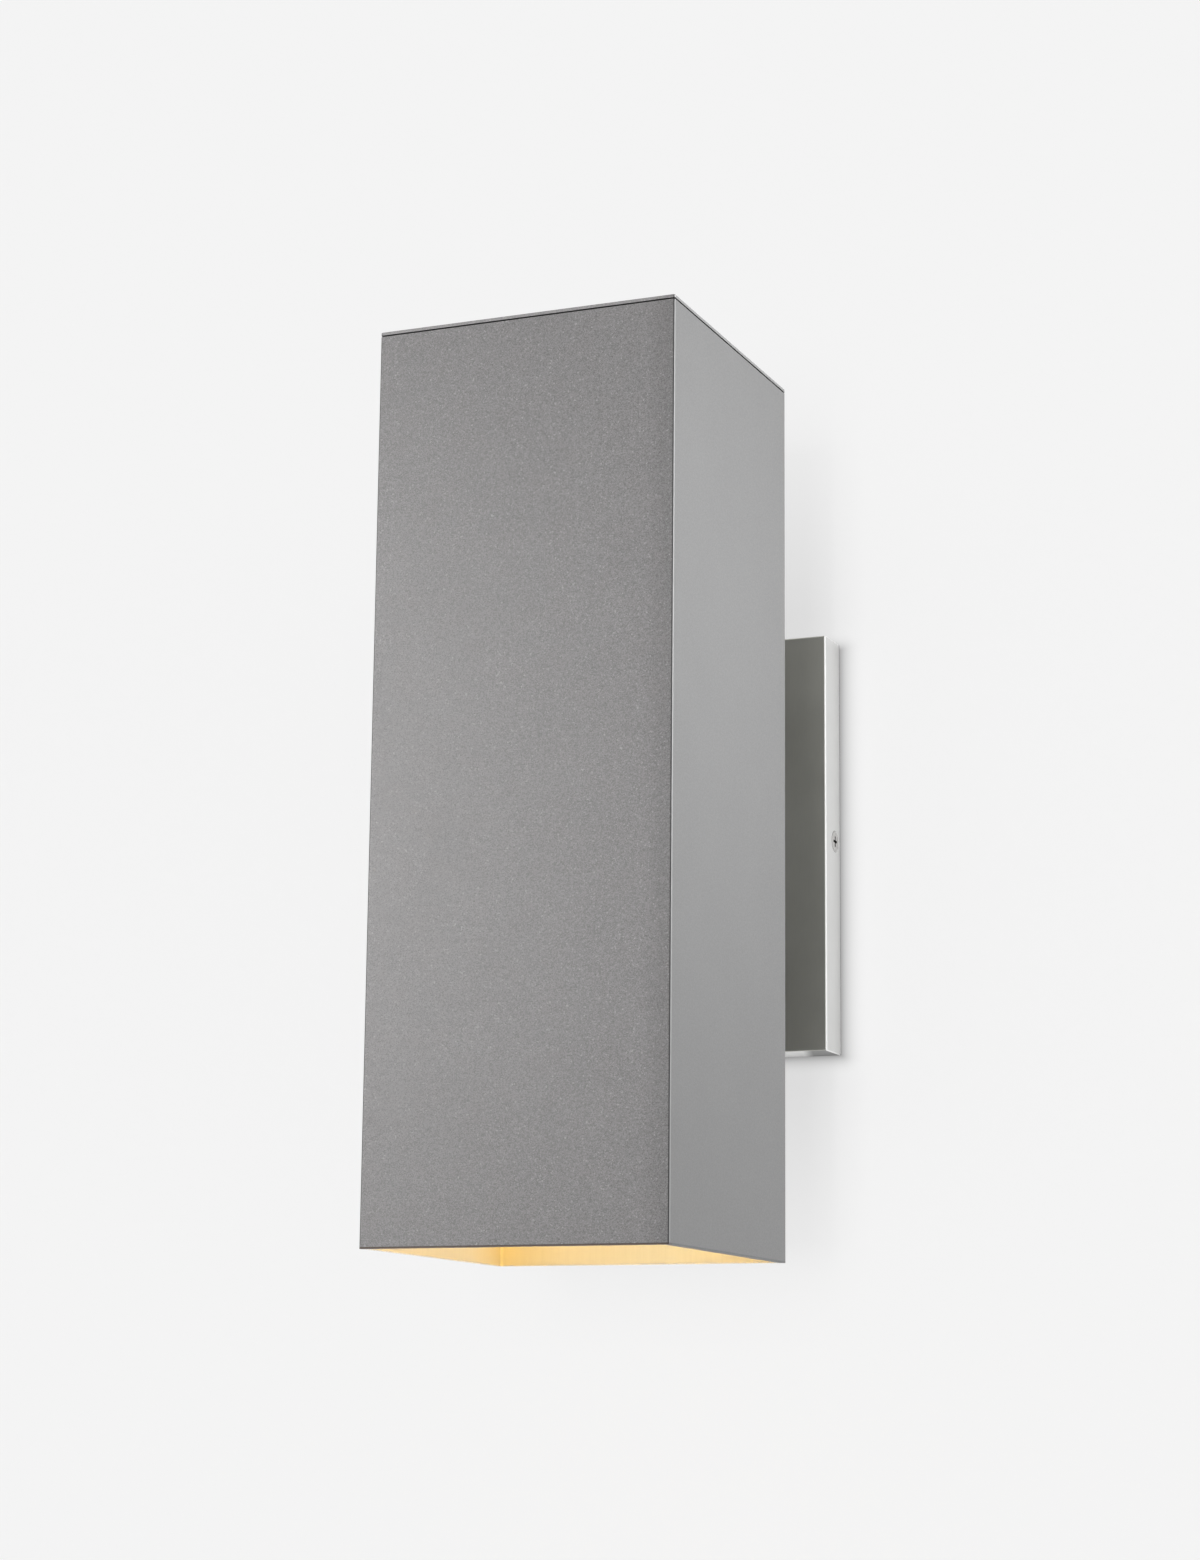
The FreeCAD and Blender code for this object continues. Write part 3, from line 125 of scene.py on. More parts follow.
# Colours, linear
WARM_PAINT = (0.2463, 0.2369, 0.2368)
COOL_PAINT = (0.2384, 0.2359, 0.2368)
# Painted light: the sides' own colour, set for the softer light that falls on them
SIDE_PAINT_AND_LIGHT = (0.2440, 0.2440, 0.2450)
# The lining's colours, set by place, paint the warm lamp light and its shade onto one pale paint
INNER_WALL = (0.865, 0.825, 0.755)
INNER_CORNER = (0.850, 0.740, 0.490)
INNER_PALE = (0.848, 0.855, 0.895)
INNER_RIGHT = (0.880, 0.820, 0.700)
# Painted shade on the mouth's rim in front and at the right, and on the hair line above it
RIM_SHADE_FRONT = (0.070, 0.045, 0.032)
RIM_SHADE_SIDE = (0.12, 0.12, 0.12)
BARE_RIM = (0.92, 0.86, 0.76)
# Painted shade under the lid's edge
LID_EAVES_SHADE = (0.010, 0.010, 0.010)
# The canopy's front faces take a darker olive painted reflection of the tube's back, and its folds a painted
# highlight
NICKEL_FRONT_REFLECTED = (0.606, 0.611, 0.560)
NICKEL_SIDE = (0.721, 0.721, 0.711)
NICKEL_FOLD_HIGHLIGHT = (0.985, 0.985, 0.975)
SEAM_DARK = (0.10, 0.10, 0.095)
BRIGHT_NICKEL = (0.70, 0.69, 0.67)
ALUMINIUM = (0.72, 0.71, 0.69)
TIN = (0.68, 0.65, 0.60)
BRASS = (0.72, 0.52, 0.22)
ZINC_STRAW = (0.60, 0.55, 0.42)
RUBBER = (0.018, 0.018, 0.019)
RUBBER_DUST = (0.055, 0.053, 0.050)
BUBBLE = (0.07, 0.06, 0.07)
MASK = (0.82, 0.82, 0.80)
MASK_EDGE = (0.62, 0.62, 0.61)
EMITTER = (0.85, 0.62, 0.12)
GLOBE_GLOW = (1.0, 0.86, 0.60)
GLOBE_SKIN = (0.45, 0.42, 0.36)

# Pairs of colours that a finish wanders between
ZINC = ((0.56, 0.56, 0.55), (0.50, 0.53, 0.60))
GREEN_ZINC = ((0.08, 0.30, 0.13), (0.05, 0.22, 0.09))
BLACK_LEAD = ((0.020, 0.020, 0.021), (0.06, 0.06, 0.06))
WHITE_LEAD = ((0.80, 0.79, 0.75), (0.70, 0.69, 0.65))
GREEN_LEAD = ((0.035, 0.22, 0.07), (0.09, 0.30, 0.13))
BLACK_NYLON = ((0.02, 0.02, 0.021), (0.03, 0.03, 0.03))
PHENOLIC = ((0.030, 0.024, 0.020), (0.045, 0.034, 0.027))
WHITE_COLLAR = ((0.80, 0.80, 0.77), (0.77, 0.77, 0.74))
ORANGE_CAP = ((0.62, 0.20, 0.02), (0.55, 0.17, 0.02))
BLACK_GLASS = ((0.012, 0.010, 0.012), (0.030, 0.022, 0.032))

# Screw threads of the lamp's cap and the socket's shell
THREAD_PITCH = 3.6 * MM
THREAD_MARGIN = 1.5 * MM
THREAD_DEPTH = 0.8 * MM
CAP_SHEET = 0.35 * MM
SHELL_THREAD_DEPTH = 0.35 * MM
SHELL_SHEET = 0.4 * MM
SHELL_EYE = 9.5 * MM
ROWS_PER_TURN = 12
AROUND = 72
CREASE = math.radians(50)


# Node trees


class Tree:
    """A node tree, with one short method for each kind of node used here."""

    def __init__(self, tree):
        self.tree = tree

    def add(self, kind, inputs=(), **settings):
        item = self.tree.nodes.new(kind)
        for name, value in settings.items():
            setattr(item, name, value)
        for name, value in dict(inputs).items():
            self.feed(item.inputs[name], value)
        return item

    def feed(self, socket, value):
        if isinstance(value, bpy.types.NodeSocket):
            self.tree.links.new(value, socket)
        elif socket.type == "RGBA":
            socket.default_value = (*value, 1)
        else:
            socket.default_value = value

    def place(self, stretch=(1, 1, 1)):
        """The piece's own coordinates in metres, stretched before a pattern reads them."""
        own = self.add("ShaderNodeTexCoord").outputs["Object"]
        return self.add("ShaderNodeMapping", {"Vector": own, "Scale": stretch}).outputs[0]

    def axes(self):
        own = self.add("ShaderNodeTexCoord").outputs["Object"]
        return self.add("ShaderNodeSeparateXYZ", {"Vector": own}).outputs

    def facing(self):
        """The surface's own normal, split into its three shares."""
        normal = self.add("ShaderNodeTexCoord").outputs["Normal"]
        return self.add("ShaderNodeSeparateXYZ", {"Vector": normal}).outputs

    def noise(self, grain, detail=2.0, roughness=0.5, stretch=(1, 1, 1), distortion=0.0):
        """Cloudy noise whose features are about the given size across, in metres."""
        inputs = {
            "Vector": self.place(stretch),
            "Scale": 1 / grain,
            "Detail": detail,
            "Roughness": roughness,
            "Distortion": distortion,
        }
        return self.add("ShaderNodeTexNoise", inputs).outputs[0]

    def cells(self, grain):
        """Random grey cells of the given size, like flakes."""
        item = self.add("ShaderNodeTexVoronoi", {"Vector": self.place(), "Scale": 1 / grain})
        return self.add("ShaderNodeSeparateColor", {"Color": item.outputs["Color"]}).outputs[0]

    def span(self, value, low, high, to_low=0.0, to_high=1.0):
        inputs = {"Value": value, "From Min": low, "From Max": high, "To Min": to_low, "To Max": to_high}
        return self.add("ShaderNodeMapRange", inputs).outputs[0]

    def sums(self, operation, first, second=0.0):
        item = self.add("ShaderNodeMath", operation=operation)
        self.feed(item.inputs[0], first)
        self.feed(item.inputs[1], second)
        return item.outputs[0]

    def plus(self, first, second):
        return self.sums("ADD", first, second)

    def minus(self, first, second):
        return self.sums("SUBTRACT", first, second)

    def times(self, first, second):
        return self.sums("MULTIPLY", first, second)

    def larger(self, first, second):
        return self.sums("MAXIMUM", first, second)

    def size(self, value):
        """A number without its sign."""
        return self.sums("ABSOLUTE", value)

    def length(self, first, second):
        """The distance that two steps at right angles make."""
        squares = [self.times(step, step) for step in (first, second)]
        return self.sums("SQRT", self.plus(*squares))

    def blend(self, factor, first, second, how="MIX"):
        item = self.add("ShaderNodeMix", data_type="RGBA", blend_type=how)
        for index, value in ((0, factor), (6, first), (7, second)):
            self.feed(item.inputs[index], value)
        return item.outputs[2]

    def grey(self, value):
        return self.add("ShaderNodeCombineColor", {"Red": value, "Green": value, "Blue": value}).outputs[0]

    def scaled(self, colour, factor):
        """A colour made lighter or darker by a number that varies over the surface."""
        return self.blend(1.0, colour, self.grey(factor), "MULTIPLY")

    def bump(self, height, depth, strength=1.0, below=None):
        inputs = {"Height": height, "Distance": depth, "Strength": strength}
        if below:
            inputs["Normal"] = below
        return self.add("ShaderNodeBump", inputs).outputs[0]

    def rays(self):
        """1 for rays that see the background: camera, glossy and transmission rays."""
        path = self.add("ShaderNodeLightPath").outputs
        seen = self.larger(path["Is Camera Ray"], path["Is Glossy Ray"])
        return self.larger(seen, path["Is Transmission Ray"])


def new_material(name):
    made = bpy.data.materials.new(name)
    made.use_nodes = True
    tree = Tree(made.node_tree)
    return made, tree, made.node_tree.nodes["Principled BSDF"]


def finish_with(tree, shader, **inputs):
    """Feeds the shader's sockets by name, with underscores for spaces."""
    for name, value in inputs.items():
        tree.feed(shader.inputs[name.replace("_", " ")], value)


# Materials


def sandy_paint_and_side_light(tree, front, flakes, sand, painted_lift):
    """The paint's colour and grain, which is strong on the front and back and faint on the sides, scaled by
    its lift factor, which paints light onto the lid. The sides' own colour and faint grain are painted light,
    for the softer light on the sides.
    """
    specks = tree.span(tree.cells(SPECK), 0.965, 0.985)
    cloud = tree.noise(22 * MM, 3.0)
    grain = tree.plus(tree.span(flakes, 0, 1, -0.24, 0.24), tree.span(sand, 0.2, 0.8, -0.30, 0.30))
    grain = tree.plus(grain, tree.times(specks, 0.45))
    # Faint grain on the sides: painted light, for the softer light there
    grain = tree.times(grain, tree.span(front, 0, 1, 0.05, 1))
    shade = tree.plus(grain, tree.span(cloud, 0.3, 0.7, 0.985 * painted_lift, 1.015 * painted_lift))
    sandy = tree.blend(tree.noise(9 * MM, 2.0), WARM_PAINT, COOL_PAINT)
    return tree.scaled(tree.blend(front, SIDE_PAINT_AND_LIGHT, sandy), shade)


def painted_corner_light(tree, normal, front, colour):
    """Painted shade and highlight on the corners: a soft painted shade band by the right corner, and on the
    front corners a painted dark reflection line and a painted highlight beside it.
    """
    x, _, _ = tree.axes()
    across = tree.size(normal[0])
    # A painted shade band by the right corner
    band = tree.times(front, tree.span(x, half_tube - 10 * MM, half_tube - 3 * MM))
    colour = tree.blend(band, colour, tree.scaled(colour, BAND_SHADE))
    # On the front corners: a painted dark reflection line, then a painted highlight beside it
    turned = tree.times(tree.span(across, 0.25, 0.40), tree.span(across, 0.80, 0.65))
    thin = tree.times(turned, tree.span(normal[1], -0.3, -0.5))
    colour = tree.blend(thin, colour, tree.scaled(colour, CORNER_SHADE))
    wear_and_highlight = tree.times(tree.span(across, 0.68, 0.80), tree.span(across, 0.998, 0.975))
    return tree.blend(wear_and_highlight, colour, tree.scaled(colour, CORNER_HIGHLIGHT))


def powder_coat(name, opened=False, painted_lift=1.0, eaves=False):
    """Silver powder coat with painted light and shade on its corners, with a lined and cut mouth if opened,
    whose lining and rim carry painted light and shade, or a dark painted shade on the underside past the
    tube.
    """
    made, tree, shader = new_material(name)
    normal = tree.facing()
    front = tree.span(tree.size(normal[1]), 0.75, 0.95)
    flakes = tree.cells(FLAKE)
    sand = tree.noise(SAND, 1.0)
    colour = sandy_paint_and_side_light(tree, front, flakes, sand, painted_lift)
    colour = painted_corner_light(tree, normal, front, colour)
    # Painted shade on the underside past the tube
    if eaves:
        past_tube = tree.minus(1, inside_tube(tree))
        under = tree.times(past_tube, tree.span(normal[2], -0.5, -0.9))
        colour = tree.blend(under, colour, LID_EAVES_SHADE)
    rough = tree.grey(tree.span(flakes, 0, 1, 0.36, 0.52))
    height = tree.plus(sand, tree.times(flakes, 0.5))
    fine = tree.bump(height, 0.018 * MM, tree.span(front, 0, 1, 0.1, 1.0))
    metal = PAINT_METAL
    if opened:
        within = inside_tube(tree)
        streaks = tree.noise(1.0 * MM, 3.0, 0.6, (1, 1, 0.03))
        colour = tree.blend(within, colour, lining(tree, streaks))
        rough = tree.blend(within, rough, tree.grey(tree.span(streaks, 0.3, 0.7, 0.46, 0.54)))
        metal = tree.span(within, 0, 1, metal, 0.0)
        fine = tree.bump(tree.times(streaks, within), 0.01 * MM, 0.5, fine)
        colour, rough, metal = mouth_rim_and_shade(tree, within, front, colour, rough, metal)
    finish_with(tree, shader, Base_Color=colour, Roughness=rough, Metallic=metal, Normal=fine)
    finish_with(tree, shader, Coat_Weight=0.06, Coat_Roughness=0.35)
    return made


def inside_tube(tree):
    """1 on the tube's inner faces, 0 outside the middle of its wall."""
    x, y, _ = tree.axes()
    wall = half_tube - TUBE_SHEET / 2
    near_x = tree.sums("LESS_THAN", tree.size(x), wall)
    near_y = tree.sums("LESS_THAN", tree.size(tree.minus(y, tube_axis)), wall)
    return tree.times(near_x, near_y)


def lining(tree, streaks):
    """Pale lining with faint upright streaks, with painted light and shade: colours set by place for the warm
    lamp light, deepest in the back left corner, a painted shade on the left wall, and a painted shade high
    up.
    """
    x, y, z = tree.axes()
    beside = tree.plus(x, half_tube - TUBE_SHEET)
    behind = tree.minus(y, housing_high.y - TUBE_SHEET)
    deep = tree.span(tree.length(beside, behind), 24 * MM, 2 * MM)
    lined = tree.blend(tree.span(x, -30 * MM, 5 * MM), INNER_WALL, INNER_PALE)
    lined = tree.blend(tree.span(x, 15 * MM, 44 * MM), lined, INNER_RIGHT)
    lined = tree.blend(deep, lined, INNER_CORNER)
    # Painted shade on the left wall
    left = tree.sums("LESS_THAN", beside, 0.1 * MM)
    lined = tree.scaled(lined, tree.span(left, 0, 1, 1.0, LINING_LEFT_SHADE))
    # Painted shade high up in the tube
    low, high = housing_low.z + 12 * MM, housing_low.z + 90 * MM
    lined = tree.scaled(lined, tree.span(z, low, high, 1.0, LINING_TOP_SHADE))
    return tree.scaled(lined, tree.span(streaks, 0.3, 0.7, 0.98, 1.015))


def mouth_rim_and_shade(tree, within, front, colour, rough, metal):
    """The rim of the mouth: painted shade on the rim in front and at the right and on a hair line above it,
    and bare polished metal elsewhere.
    """
    x, y, z = tree.axes()
    line_low, line_high = housing_low.z + 0.45 * MM, housing_low.z + 0.62 * MM
    full, past_sheet = 2.0 * MM, 2.6 * MM
    rim = tree.sums("LESS_THAN", z, housing_low.z + 0.05 * MM)
    line = tree.span(z, line_high, line_low)
    line = tree.times(line, tree.span(within, 0, 1, 1, 0))
    line = tree.times(line, tree.span(front, 0, 1, 0.5, 0.85))
    ahead = tree.span(y, housing_low.y + past_sheet, housing_low.y + full)
    dark = tree.larger(ahead, tree.span(x, half_tube - past_sheet, half_tube - full))
    dark = tree.larger(dark, tree.minus(1, rim))
    bare = tree.blend(dark, BARE_RIM, tree.blend(ahead, RIM_SHADE_SIDE, RIM_SHADE_FRONT))
    polished = tree.times(rim, tree.minus(1, dark))
    colour = tree.blend(tree.larger(rim, line), colour, bare)
    rough = tree.blend(polished, rough, (0.22, 0.22, 0.22))
    return colour, rough, tree.larger(metal, polished)


def screw_seam(tree):
    """The dark gap round each side screw, which is faint toward the wall."""
    _, y, z = tree.axes()
    starts, full, fades, ends = SEAM_RADII
    out = tree.length(tree.minus(y, screw_middle.y), tree.minus(z, screw_middle.z))
    ring = tree.times(tree.span(out, starts, full), tree.span(out, ends, fades))
    worn = tree.span(y, screw_middle.y + 3 * MM, screw_middle.y - 3 * MM, 0.25, 0.85)
    return tree.times(ring, worn)


def satin_nickel(name):
    """Satin nickel plate: fine upright brushing and screw seams, with painted light: a painted highlight on
    the folds, a darker olive painted reflection on the front faces, sides painted lighter toward the wall,
    and an underside painted lighter in its middle and in shade at its ends.
    """
    made, tree, shader = new_material(name)
    x, y, _ = tree.axes()
    normal = tree.facing()
    brushed = tree.noise(0.22 * MM, 4.0, 0.65, (1, 1, 0.04))
    clouds = tree.noise(16 * MM, 3.0)
    soft = tree.span(clouds, 0.3, 0.7, 0.98, 1.02)
    # Darker olive front faces: a painted reflection of the tube's back
    tint = tree.blend(tree.span(normal[1], -0.4, -0.8), NICKEL_SIDE, NICKEL_FRONT_REFLECTED)
    base = tree.scaled(tint, tree.plus(tree.span(brushed, 0.25, 0.75, -0.03, 0.03), soft))
    # Underside painted lighter in its middle and in shade at its ends
    below = tree.span(normal[2], -0.7, -0.95)
    slant = tree.span(y, canopy_low.y, canopy_high.y, 0, 4.4 * MM)
    along = tree.plus(tree.size(x), slant)
    ends = tree.span(along, canopy_high.x - 9.0 * MM, canopy_high.x - 5.5 * MM)
    base = tree.blend(below, base, tree.scaled(base, tree.span(ends, 0, 1, 1.34, 0.35)))
    # Painted highlight on the folds between the front and the sides
    across = tree.size(normal[0])
    fold = tree.times(tree.span(across, 0.25, 0.40), tree.span(across, 0.96, 0.88))
    base = tree.blend(fold, base, NICKEL_FOLD_HIGHLIGHT)
    side = tree.span(across, 0.9, 0.97)
    # Sides painted lighter toward the wall
    toward_wall = tree.span(y, canopy_low.y + 3 * MM, canopy_high.y, 1.0, 1.07)
    base = tree.blend(side, base, tree.scaled(base, toward_wall))
    base = tree.blend(tree.times(screw_seam(tree), side), base, SEAM_DARK)
    soft_shine = tree.span(clouds, 0.3, 0.7, -0.02, 0.02)
    rough = tree.plus(tree.span(brushed, 0.2, 0.8, 0.34, 0.42), soft_shine)
    fine = tree.bump(brushed, 0.003 * MM, 0.5)
    finish_with(tree, shader, Base_Color=base, Roughness=rough, Metallic=0.85, Normal=fine)
    return made


def satin_metal(name, colour, brush=(1, 1, 1), rough=(0.24, 0.36), cloud=0.03, face=None):
    """Plated metal with faint brushing, clouds and scratches, and painted shade in what lies below its face.
    """
    made, tree, shader = new_material(name)
    lines = tree.noise(0.35 * MM, 4.0, 0.65, brush)
    clouds = tree.noise(14 * MM, 3.0)
    scratches = tree.span(tree.noise(0.5 * MM, 2.0, 0.5, (1, 0.05, 0.4), 0.6), 0.70, 0.74)
    drawn = tree.span(lines, 0.25, 0.75, -0.05, 0.05)
    base = tree.scaled(colour, tree.plus(drawn, tree.span(clouds, 0.3, 0.7, 1 - cloud, 1 + cloud)))
    base = tree.blend(tree.times(scratches, 0.25), base, tree.scaled(colour, 1.25))
    if face:
        # Painted shade in the recess below the face
        sunk = tree.span(tree.size(tree.axes()[0]), face - 0.15 * MM, face - 0.5 * MM)
        base = tree.blend(sunk, base, tree.scaled(base, RECESS_SHADE))
    worn = tree.plus(tree.span(lines, 0.2, 0.8, *rough), tree.span(clouds, 0.3, 0.7, -0.03, 0.03))
    fine = tree.bump(lines, 0.006 * MM, 0.7)
    finish_with(tree, shader, Base_Color=base, Roughness=worn, Metallic=1.0, Normal=fine)
    return made


def zinc_plate(name, colour, tint, spots):
    """Zinc plated steel: spangled clouds with a faint blue and straw tint, and rolled lines."""
    made, tree, shader = new_material(name)
    spangle = tree.cells(spots * MM)
    cloud = tree.noise(6 * MM, 4.0, 0.6)
    rolled = tree.noise(0.4 * MM, 3.0, 0.6, (0.06, 1, 1))
    base = tree.blend(tree.span(cloud, 0.35, 0.65), colour, tint)
    base = tree.blend(tree.span(tree.noise(11 * MM, 2.0), 0.55, 0.75, 0, 0.5), base, ZINC_STRAW)
    shade = tree.plus(tree.span(spangle, 0, 1, 0.92, 1.05), tree.span(rolled, 0.2, 0.8, -0.06, 0.06))
    base = tree.scaled(base, shade)
    rough = tree.plus(tree.span(spangle, 0, 1, 0.27, 0.40), tree.span(rolled, 0.2, 0.8, -0.04, 0.06))
    fine = tree.bump(rolled, 0.008 * MM, 0.6)
    finish_with(tree, shader, Base_Color=base, Roughness=rough, Metallic=1.0, Normal=fine)
    return made


def rubber(name):
    """Black rubber with a pebbled skin and paler dust in its hollows."""
    made, tree, shader = new_material(name)
    pebble = tree.noise(0.35 * MM, 3.0, 0.6)
    dust = tree.noise(5 * MM, 3.0)
    base = tree.blend(tree.span(dust, 0.45, 0.8, 0, 0.35), RUBBER, RUBBER_DUST)
    base = tree.scaled(base, tree.span(pebble, 0.2, 0.8, 0.75, 1.3))
    rough = tree.span(pebble, 0.2, 0.8, 0.62, 0.88)
    finish_with(tree, shader, Base_Color=base, Roughness=rough, Normal=tree.bump(pebble, 0.05 * MM, 0.8))
    finish_with(tree, shader, Sheen_Weight=0.12, Sheen_Roughness=0.5)
    return made


def moulded_plastic(name, colour, second, rough=(0.32, 0.48), skin=0.3, depth=0.012, coat=0.0):
    """Moulded plastic: a fine spark-eroded skin, flow marks and handling shine."""
    made, tree, shader = new_material(name)
    grain = tree.noise(skin * MM, 2.0, 0.55)
    flow = tree.noise(7 * MM, 3.0, 0.5, (1, 1, 0.35), 0.8)
    wear_and_highlight = tree.noise(3 * MM, 4.0)
    base = tree.blend(tree.span(flow, 0.3, 0.7), colour, second)
    base = tree.scaled(base, tree.span(grain, 0.2, 0.8, 0.94, 1.06))
    roughness = tree.plus(tree.span(grain, 0.2, 0.8, *rough), tree.span(wear_and_highlight, 0.4, 0.7, 0.04, -0.05))
    finish_with(tree, shader, Base_Color=base, Roughness=roughness, Normal=tree.bump(grain, depth * MM, 0.8))
    finish_with(tree, shader, Coat_Weight=coat, Coat_Roughness=0.15)
    return made


def lead_skin(name, colour, second):
    """Extruded insulation: a soft shine with faint drawn lines along it and a dusting of talc."""
    made, tree, shader = new_material(name)
    drawn = tree.noise(0.3 * MM, 3.0, 0.6, (1, 1, 0.08))
    talc = tree.noise(2.2 * MM, 4.0, 0.6)
    base = tree.blend(tree.span(talc, 0.5, 0.8, 0, 0.6), colour, second)
    base = tree.scaled(base, tree.span(drawn, 0.25, 0.75, 0.93, 1.05))
    rough = tree.span(talc, 0.3, 0.8, 0.30, 0.55)
    finish_with(tree, shader, Base_Color=base, Roughness=rough, Normal=tree.bump(drawn, 0.012 * MM, 0.7))
    finish_with(tree, shader, Coat_Weight=0.15, Coat_Roughness=0.25)
    return made


def dark_glass(name):
    """Black vitrified glass round the lamp's tip, with small bubbles and a wavy skin."""
    made, tree, shader = new_material(name)
    wavy = tree.noise(1.6 * MM, 2.0)
    bubbles = tree.span(tree.cells(0.5 * MM), 0.93, 0.97)
    base = tree.blend(tree.span(wavy, 0.3, 0.7), *BLACK_GLASS)
    base = tree.blend(tree.times(bubbles, 0.5), base, BUBBLE)
    rough = tree.span(wavy, 0.3, 0.7, 0.06, 0.18)
    finish_with(tree, shader, Base_Color=base, Roughness=rough, Normal=tree.bump(wavy, 0.08 * MM, 0.5))
    finish_with(tree, shader, IOR=1.6, Coat_Weight=0.4, Coat_Roughness=0.05)
    return made


def solder_mask(name, place, radius):
    """White mask of the light board, with rows of small yellow emitters and bare metal at the edge."""
    made, tree, shader = new_material(name)
    x, y, _ = tree.axes()
    out = tree.length(x, tree.minus(y, place.y))
    even = {"Vector": tree.place(), "Scale": 1 / EMITTER_PITCH, "Randomness": 0.0}
    dots = tree.add("ShaderNodeTexVoronoi", even)
    emitter = tree.span(dots.outputs["Distance"], 0.26, 0.20)
    weave = tree.noise(0.5 * MM, 3.0)
    base = tree.blend(emitter, MASK, EMITTER)
    rim = tree.span(out, radius - 0.8 * MM, radius - 0.4 * MM)
    base = tree.blend(rim, base, MASK_EDGE)
    base = tree.scaled(base, tree.span(weave, 0.2, 0.8, 0.93, 1.05))
    rough = tree.span(weave, 0.2, 0.8, 0.35, 0.5)
    height = tree.plus(emitter, tree.times(weave, 0.1))
    finish_with(tree, shader, Base_Color=base, Roughness=rough, Normal=tree.bump(height, 0.3 * MM, 0.6))
    return made


def frosted_globe(name):
    """Frosted warm diffuser, lit from within and brightest at its foot."""
    made, tree, shader = new_material(name)
    frost = tree.noise(0.5 * MM, 3.0, 0.6)
    cloud = tree.noise(18 * MM, 2.0)
    _, _, z = tree.axes()
    rise = tree.span(z, globe_low.z, globe_high.z, 1.0, 0.86)
    glow = tree.scaled(GLOBE_GLOW, tree.times(rise, tree.span(cloud, 0.3, 0.7, 0.97, 1.02)))
    glow = tree.scaled(glow, tree.span(frost, 0.2, 0.8, 0.96, 1.03))
    camera = tree.add("ShaderNodeLightPath").outputs["Is Camera Ray"]
    strength = tree.span(camera, 0, 1, GLOBE_OUTPUT, GLOBE_SEEN)
    light = tree.blend(camera, GLOBE_COLOUR, glow)
    finish_with(tree, shader, Base_Color=GLOBE_SKIN, Roughness=tree.span(frost, 0.2, 0.8, 0.42, 0.58))
    finish_with(tree, shader, Emission_Color=light, Emission_Strength=strength)
    finish_with(tree, shader, Normal=tree.bump(frost, 0.02 * MM, 0.6))
    return made


# Meshes made here


def helix_rows(low, high, root, depth):
    """Rows of a rounded right-hand thread, each a height and a rule that gives the radius at an angle."""
    count = round((high - low) / THREAD_PITCH * ROWS_PER_TURN)
    run_in = THREAD_PITCH / 2

    def row(index):
        height = low + (high - low) * index / count
        grown = min((height - low) / run_in, (high - height) / run_in, 1)

        def radius(angle):
            wave = (1 - math.cos(2 * math.pi * height / THREAD_PITCH - angle)) / 2
            return root + depth * wave * grown

        return height, radius

    return [row(index) for index in range(count + 1)]


def plain_row(height, radius):
    return height, lambda angle: radius


def turned_mesh(name, rows, axis_y):
    """A closed ring of sheet: each row goes once round an upright axis, and the last joins the first."""
    points = []
    for height, radius in rows:
        for index in range(AROUND):
            angle = 2 * math.pi * index / AROUND
            reach = radius(angle)
            points.append((reach * math.cos(angle), axis_y + reach * math.sin(angle), height))
    faces = []
    for row in range(len(rows)):
        first = row * AROUND
        second = (row + 1) % len(rows) * AROUND
        for index in range(AROUND):
            step = (index + 1) % AROUND
            faces.append((first + index, first + step, second + step, second + index))
    mesh = bpy.data.meshes.new(name)
    mesh.from_pydata(points, [], faces)
    mesh.shade_smooth()
    mesh.set_sharp_from_angle(angle=CREASE)
    return mesh


def threaded_piece(name, rows, node, body, material):
    """A threaded sleeve of thin sheet that stands for one CAD node."""
    low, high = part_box(node)
    mesh = turned_mesh(name, rows, (low.y + high.y) / 2)
    mesh.materials.append(material)
    piece = bpy.data.objects.new(name, mesh)
    bpy.context.scene.collection.objects.link(piece)
    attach(piece, body)
    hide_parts(node)


def make_cap_thread(material):
    """The lamp's screw cap, rolled from sheet with one long helical thread."""
    low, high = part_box("lamp_cap_shell")
    root = high.x - THREAD_DEPTH
    inside = root - CAP_SHEET
    rows = [plain_row(low.z, root)]
    rows += helix_rows(low.z + THREAD_MARGIN, high.z - THREAD_MARGIN, root, THREAD_DEPTH)
    rows += [plain_row(high.z, root), plain_row(high.z, inside), plain_row(low.z, inside)]
    threaded_piece("lamp_cap_thread", rows, "lamp_cap_shell", "lamp", material)


def make_shell_thread(material):
    """The socket's screw shell: a sheet cup with a shallower thread, and a wide eye in its roof."""
    low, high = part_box("screw_shell")
    outer = high.x - SHELL_THREAD_DEPTH
    inner = outer - SHELL_SHEET
    roof = high.z - SHELL_SHEET
    start, end = low.z + THREAD_MARGIN, high.z - THREAD_MARGIN
    rows = [plain_row(low.z, outer)] + helix_rows(start, end, outer, SHELL_THREAD_DEPTH)
    rows += [plain_row(high.z, outer), plain_row(high.z, SHELL_EYE), plain_row(roof, SHELL_EYE)]
    rows += [plain_row(roof, inner)] + helix_rows(start, end, inner, SHELL_THREAD_DEPTH)[::-1]
    rows += [plain_row(low.z, inner)]
    threaded_piece("shell_thread", rows, "screw_shell", "fixture", material)


# Stage and light


def one_sided(tree, front):
    """Shows the front only, so that a view from behind looks through."""
    back = tree.add("ShaderNodeNewGeometry").outputs["Backfacing"]
    clear = tree.add("ShaderNodeBsdfTransparent").outputs[0]
    out = tree.add("ShaderNodeMixShader", {"Fac": back})
    tree.tree.links.new(front, out.inputs[1])
    tree.tree.links.new(clear, out.inputs[2])
    target = tree.tree.nodes["Material Output"]
    tree.tree.links.new(out.outputs[0], target.inputs["Surface"])


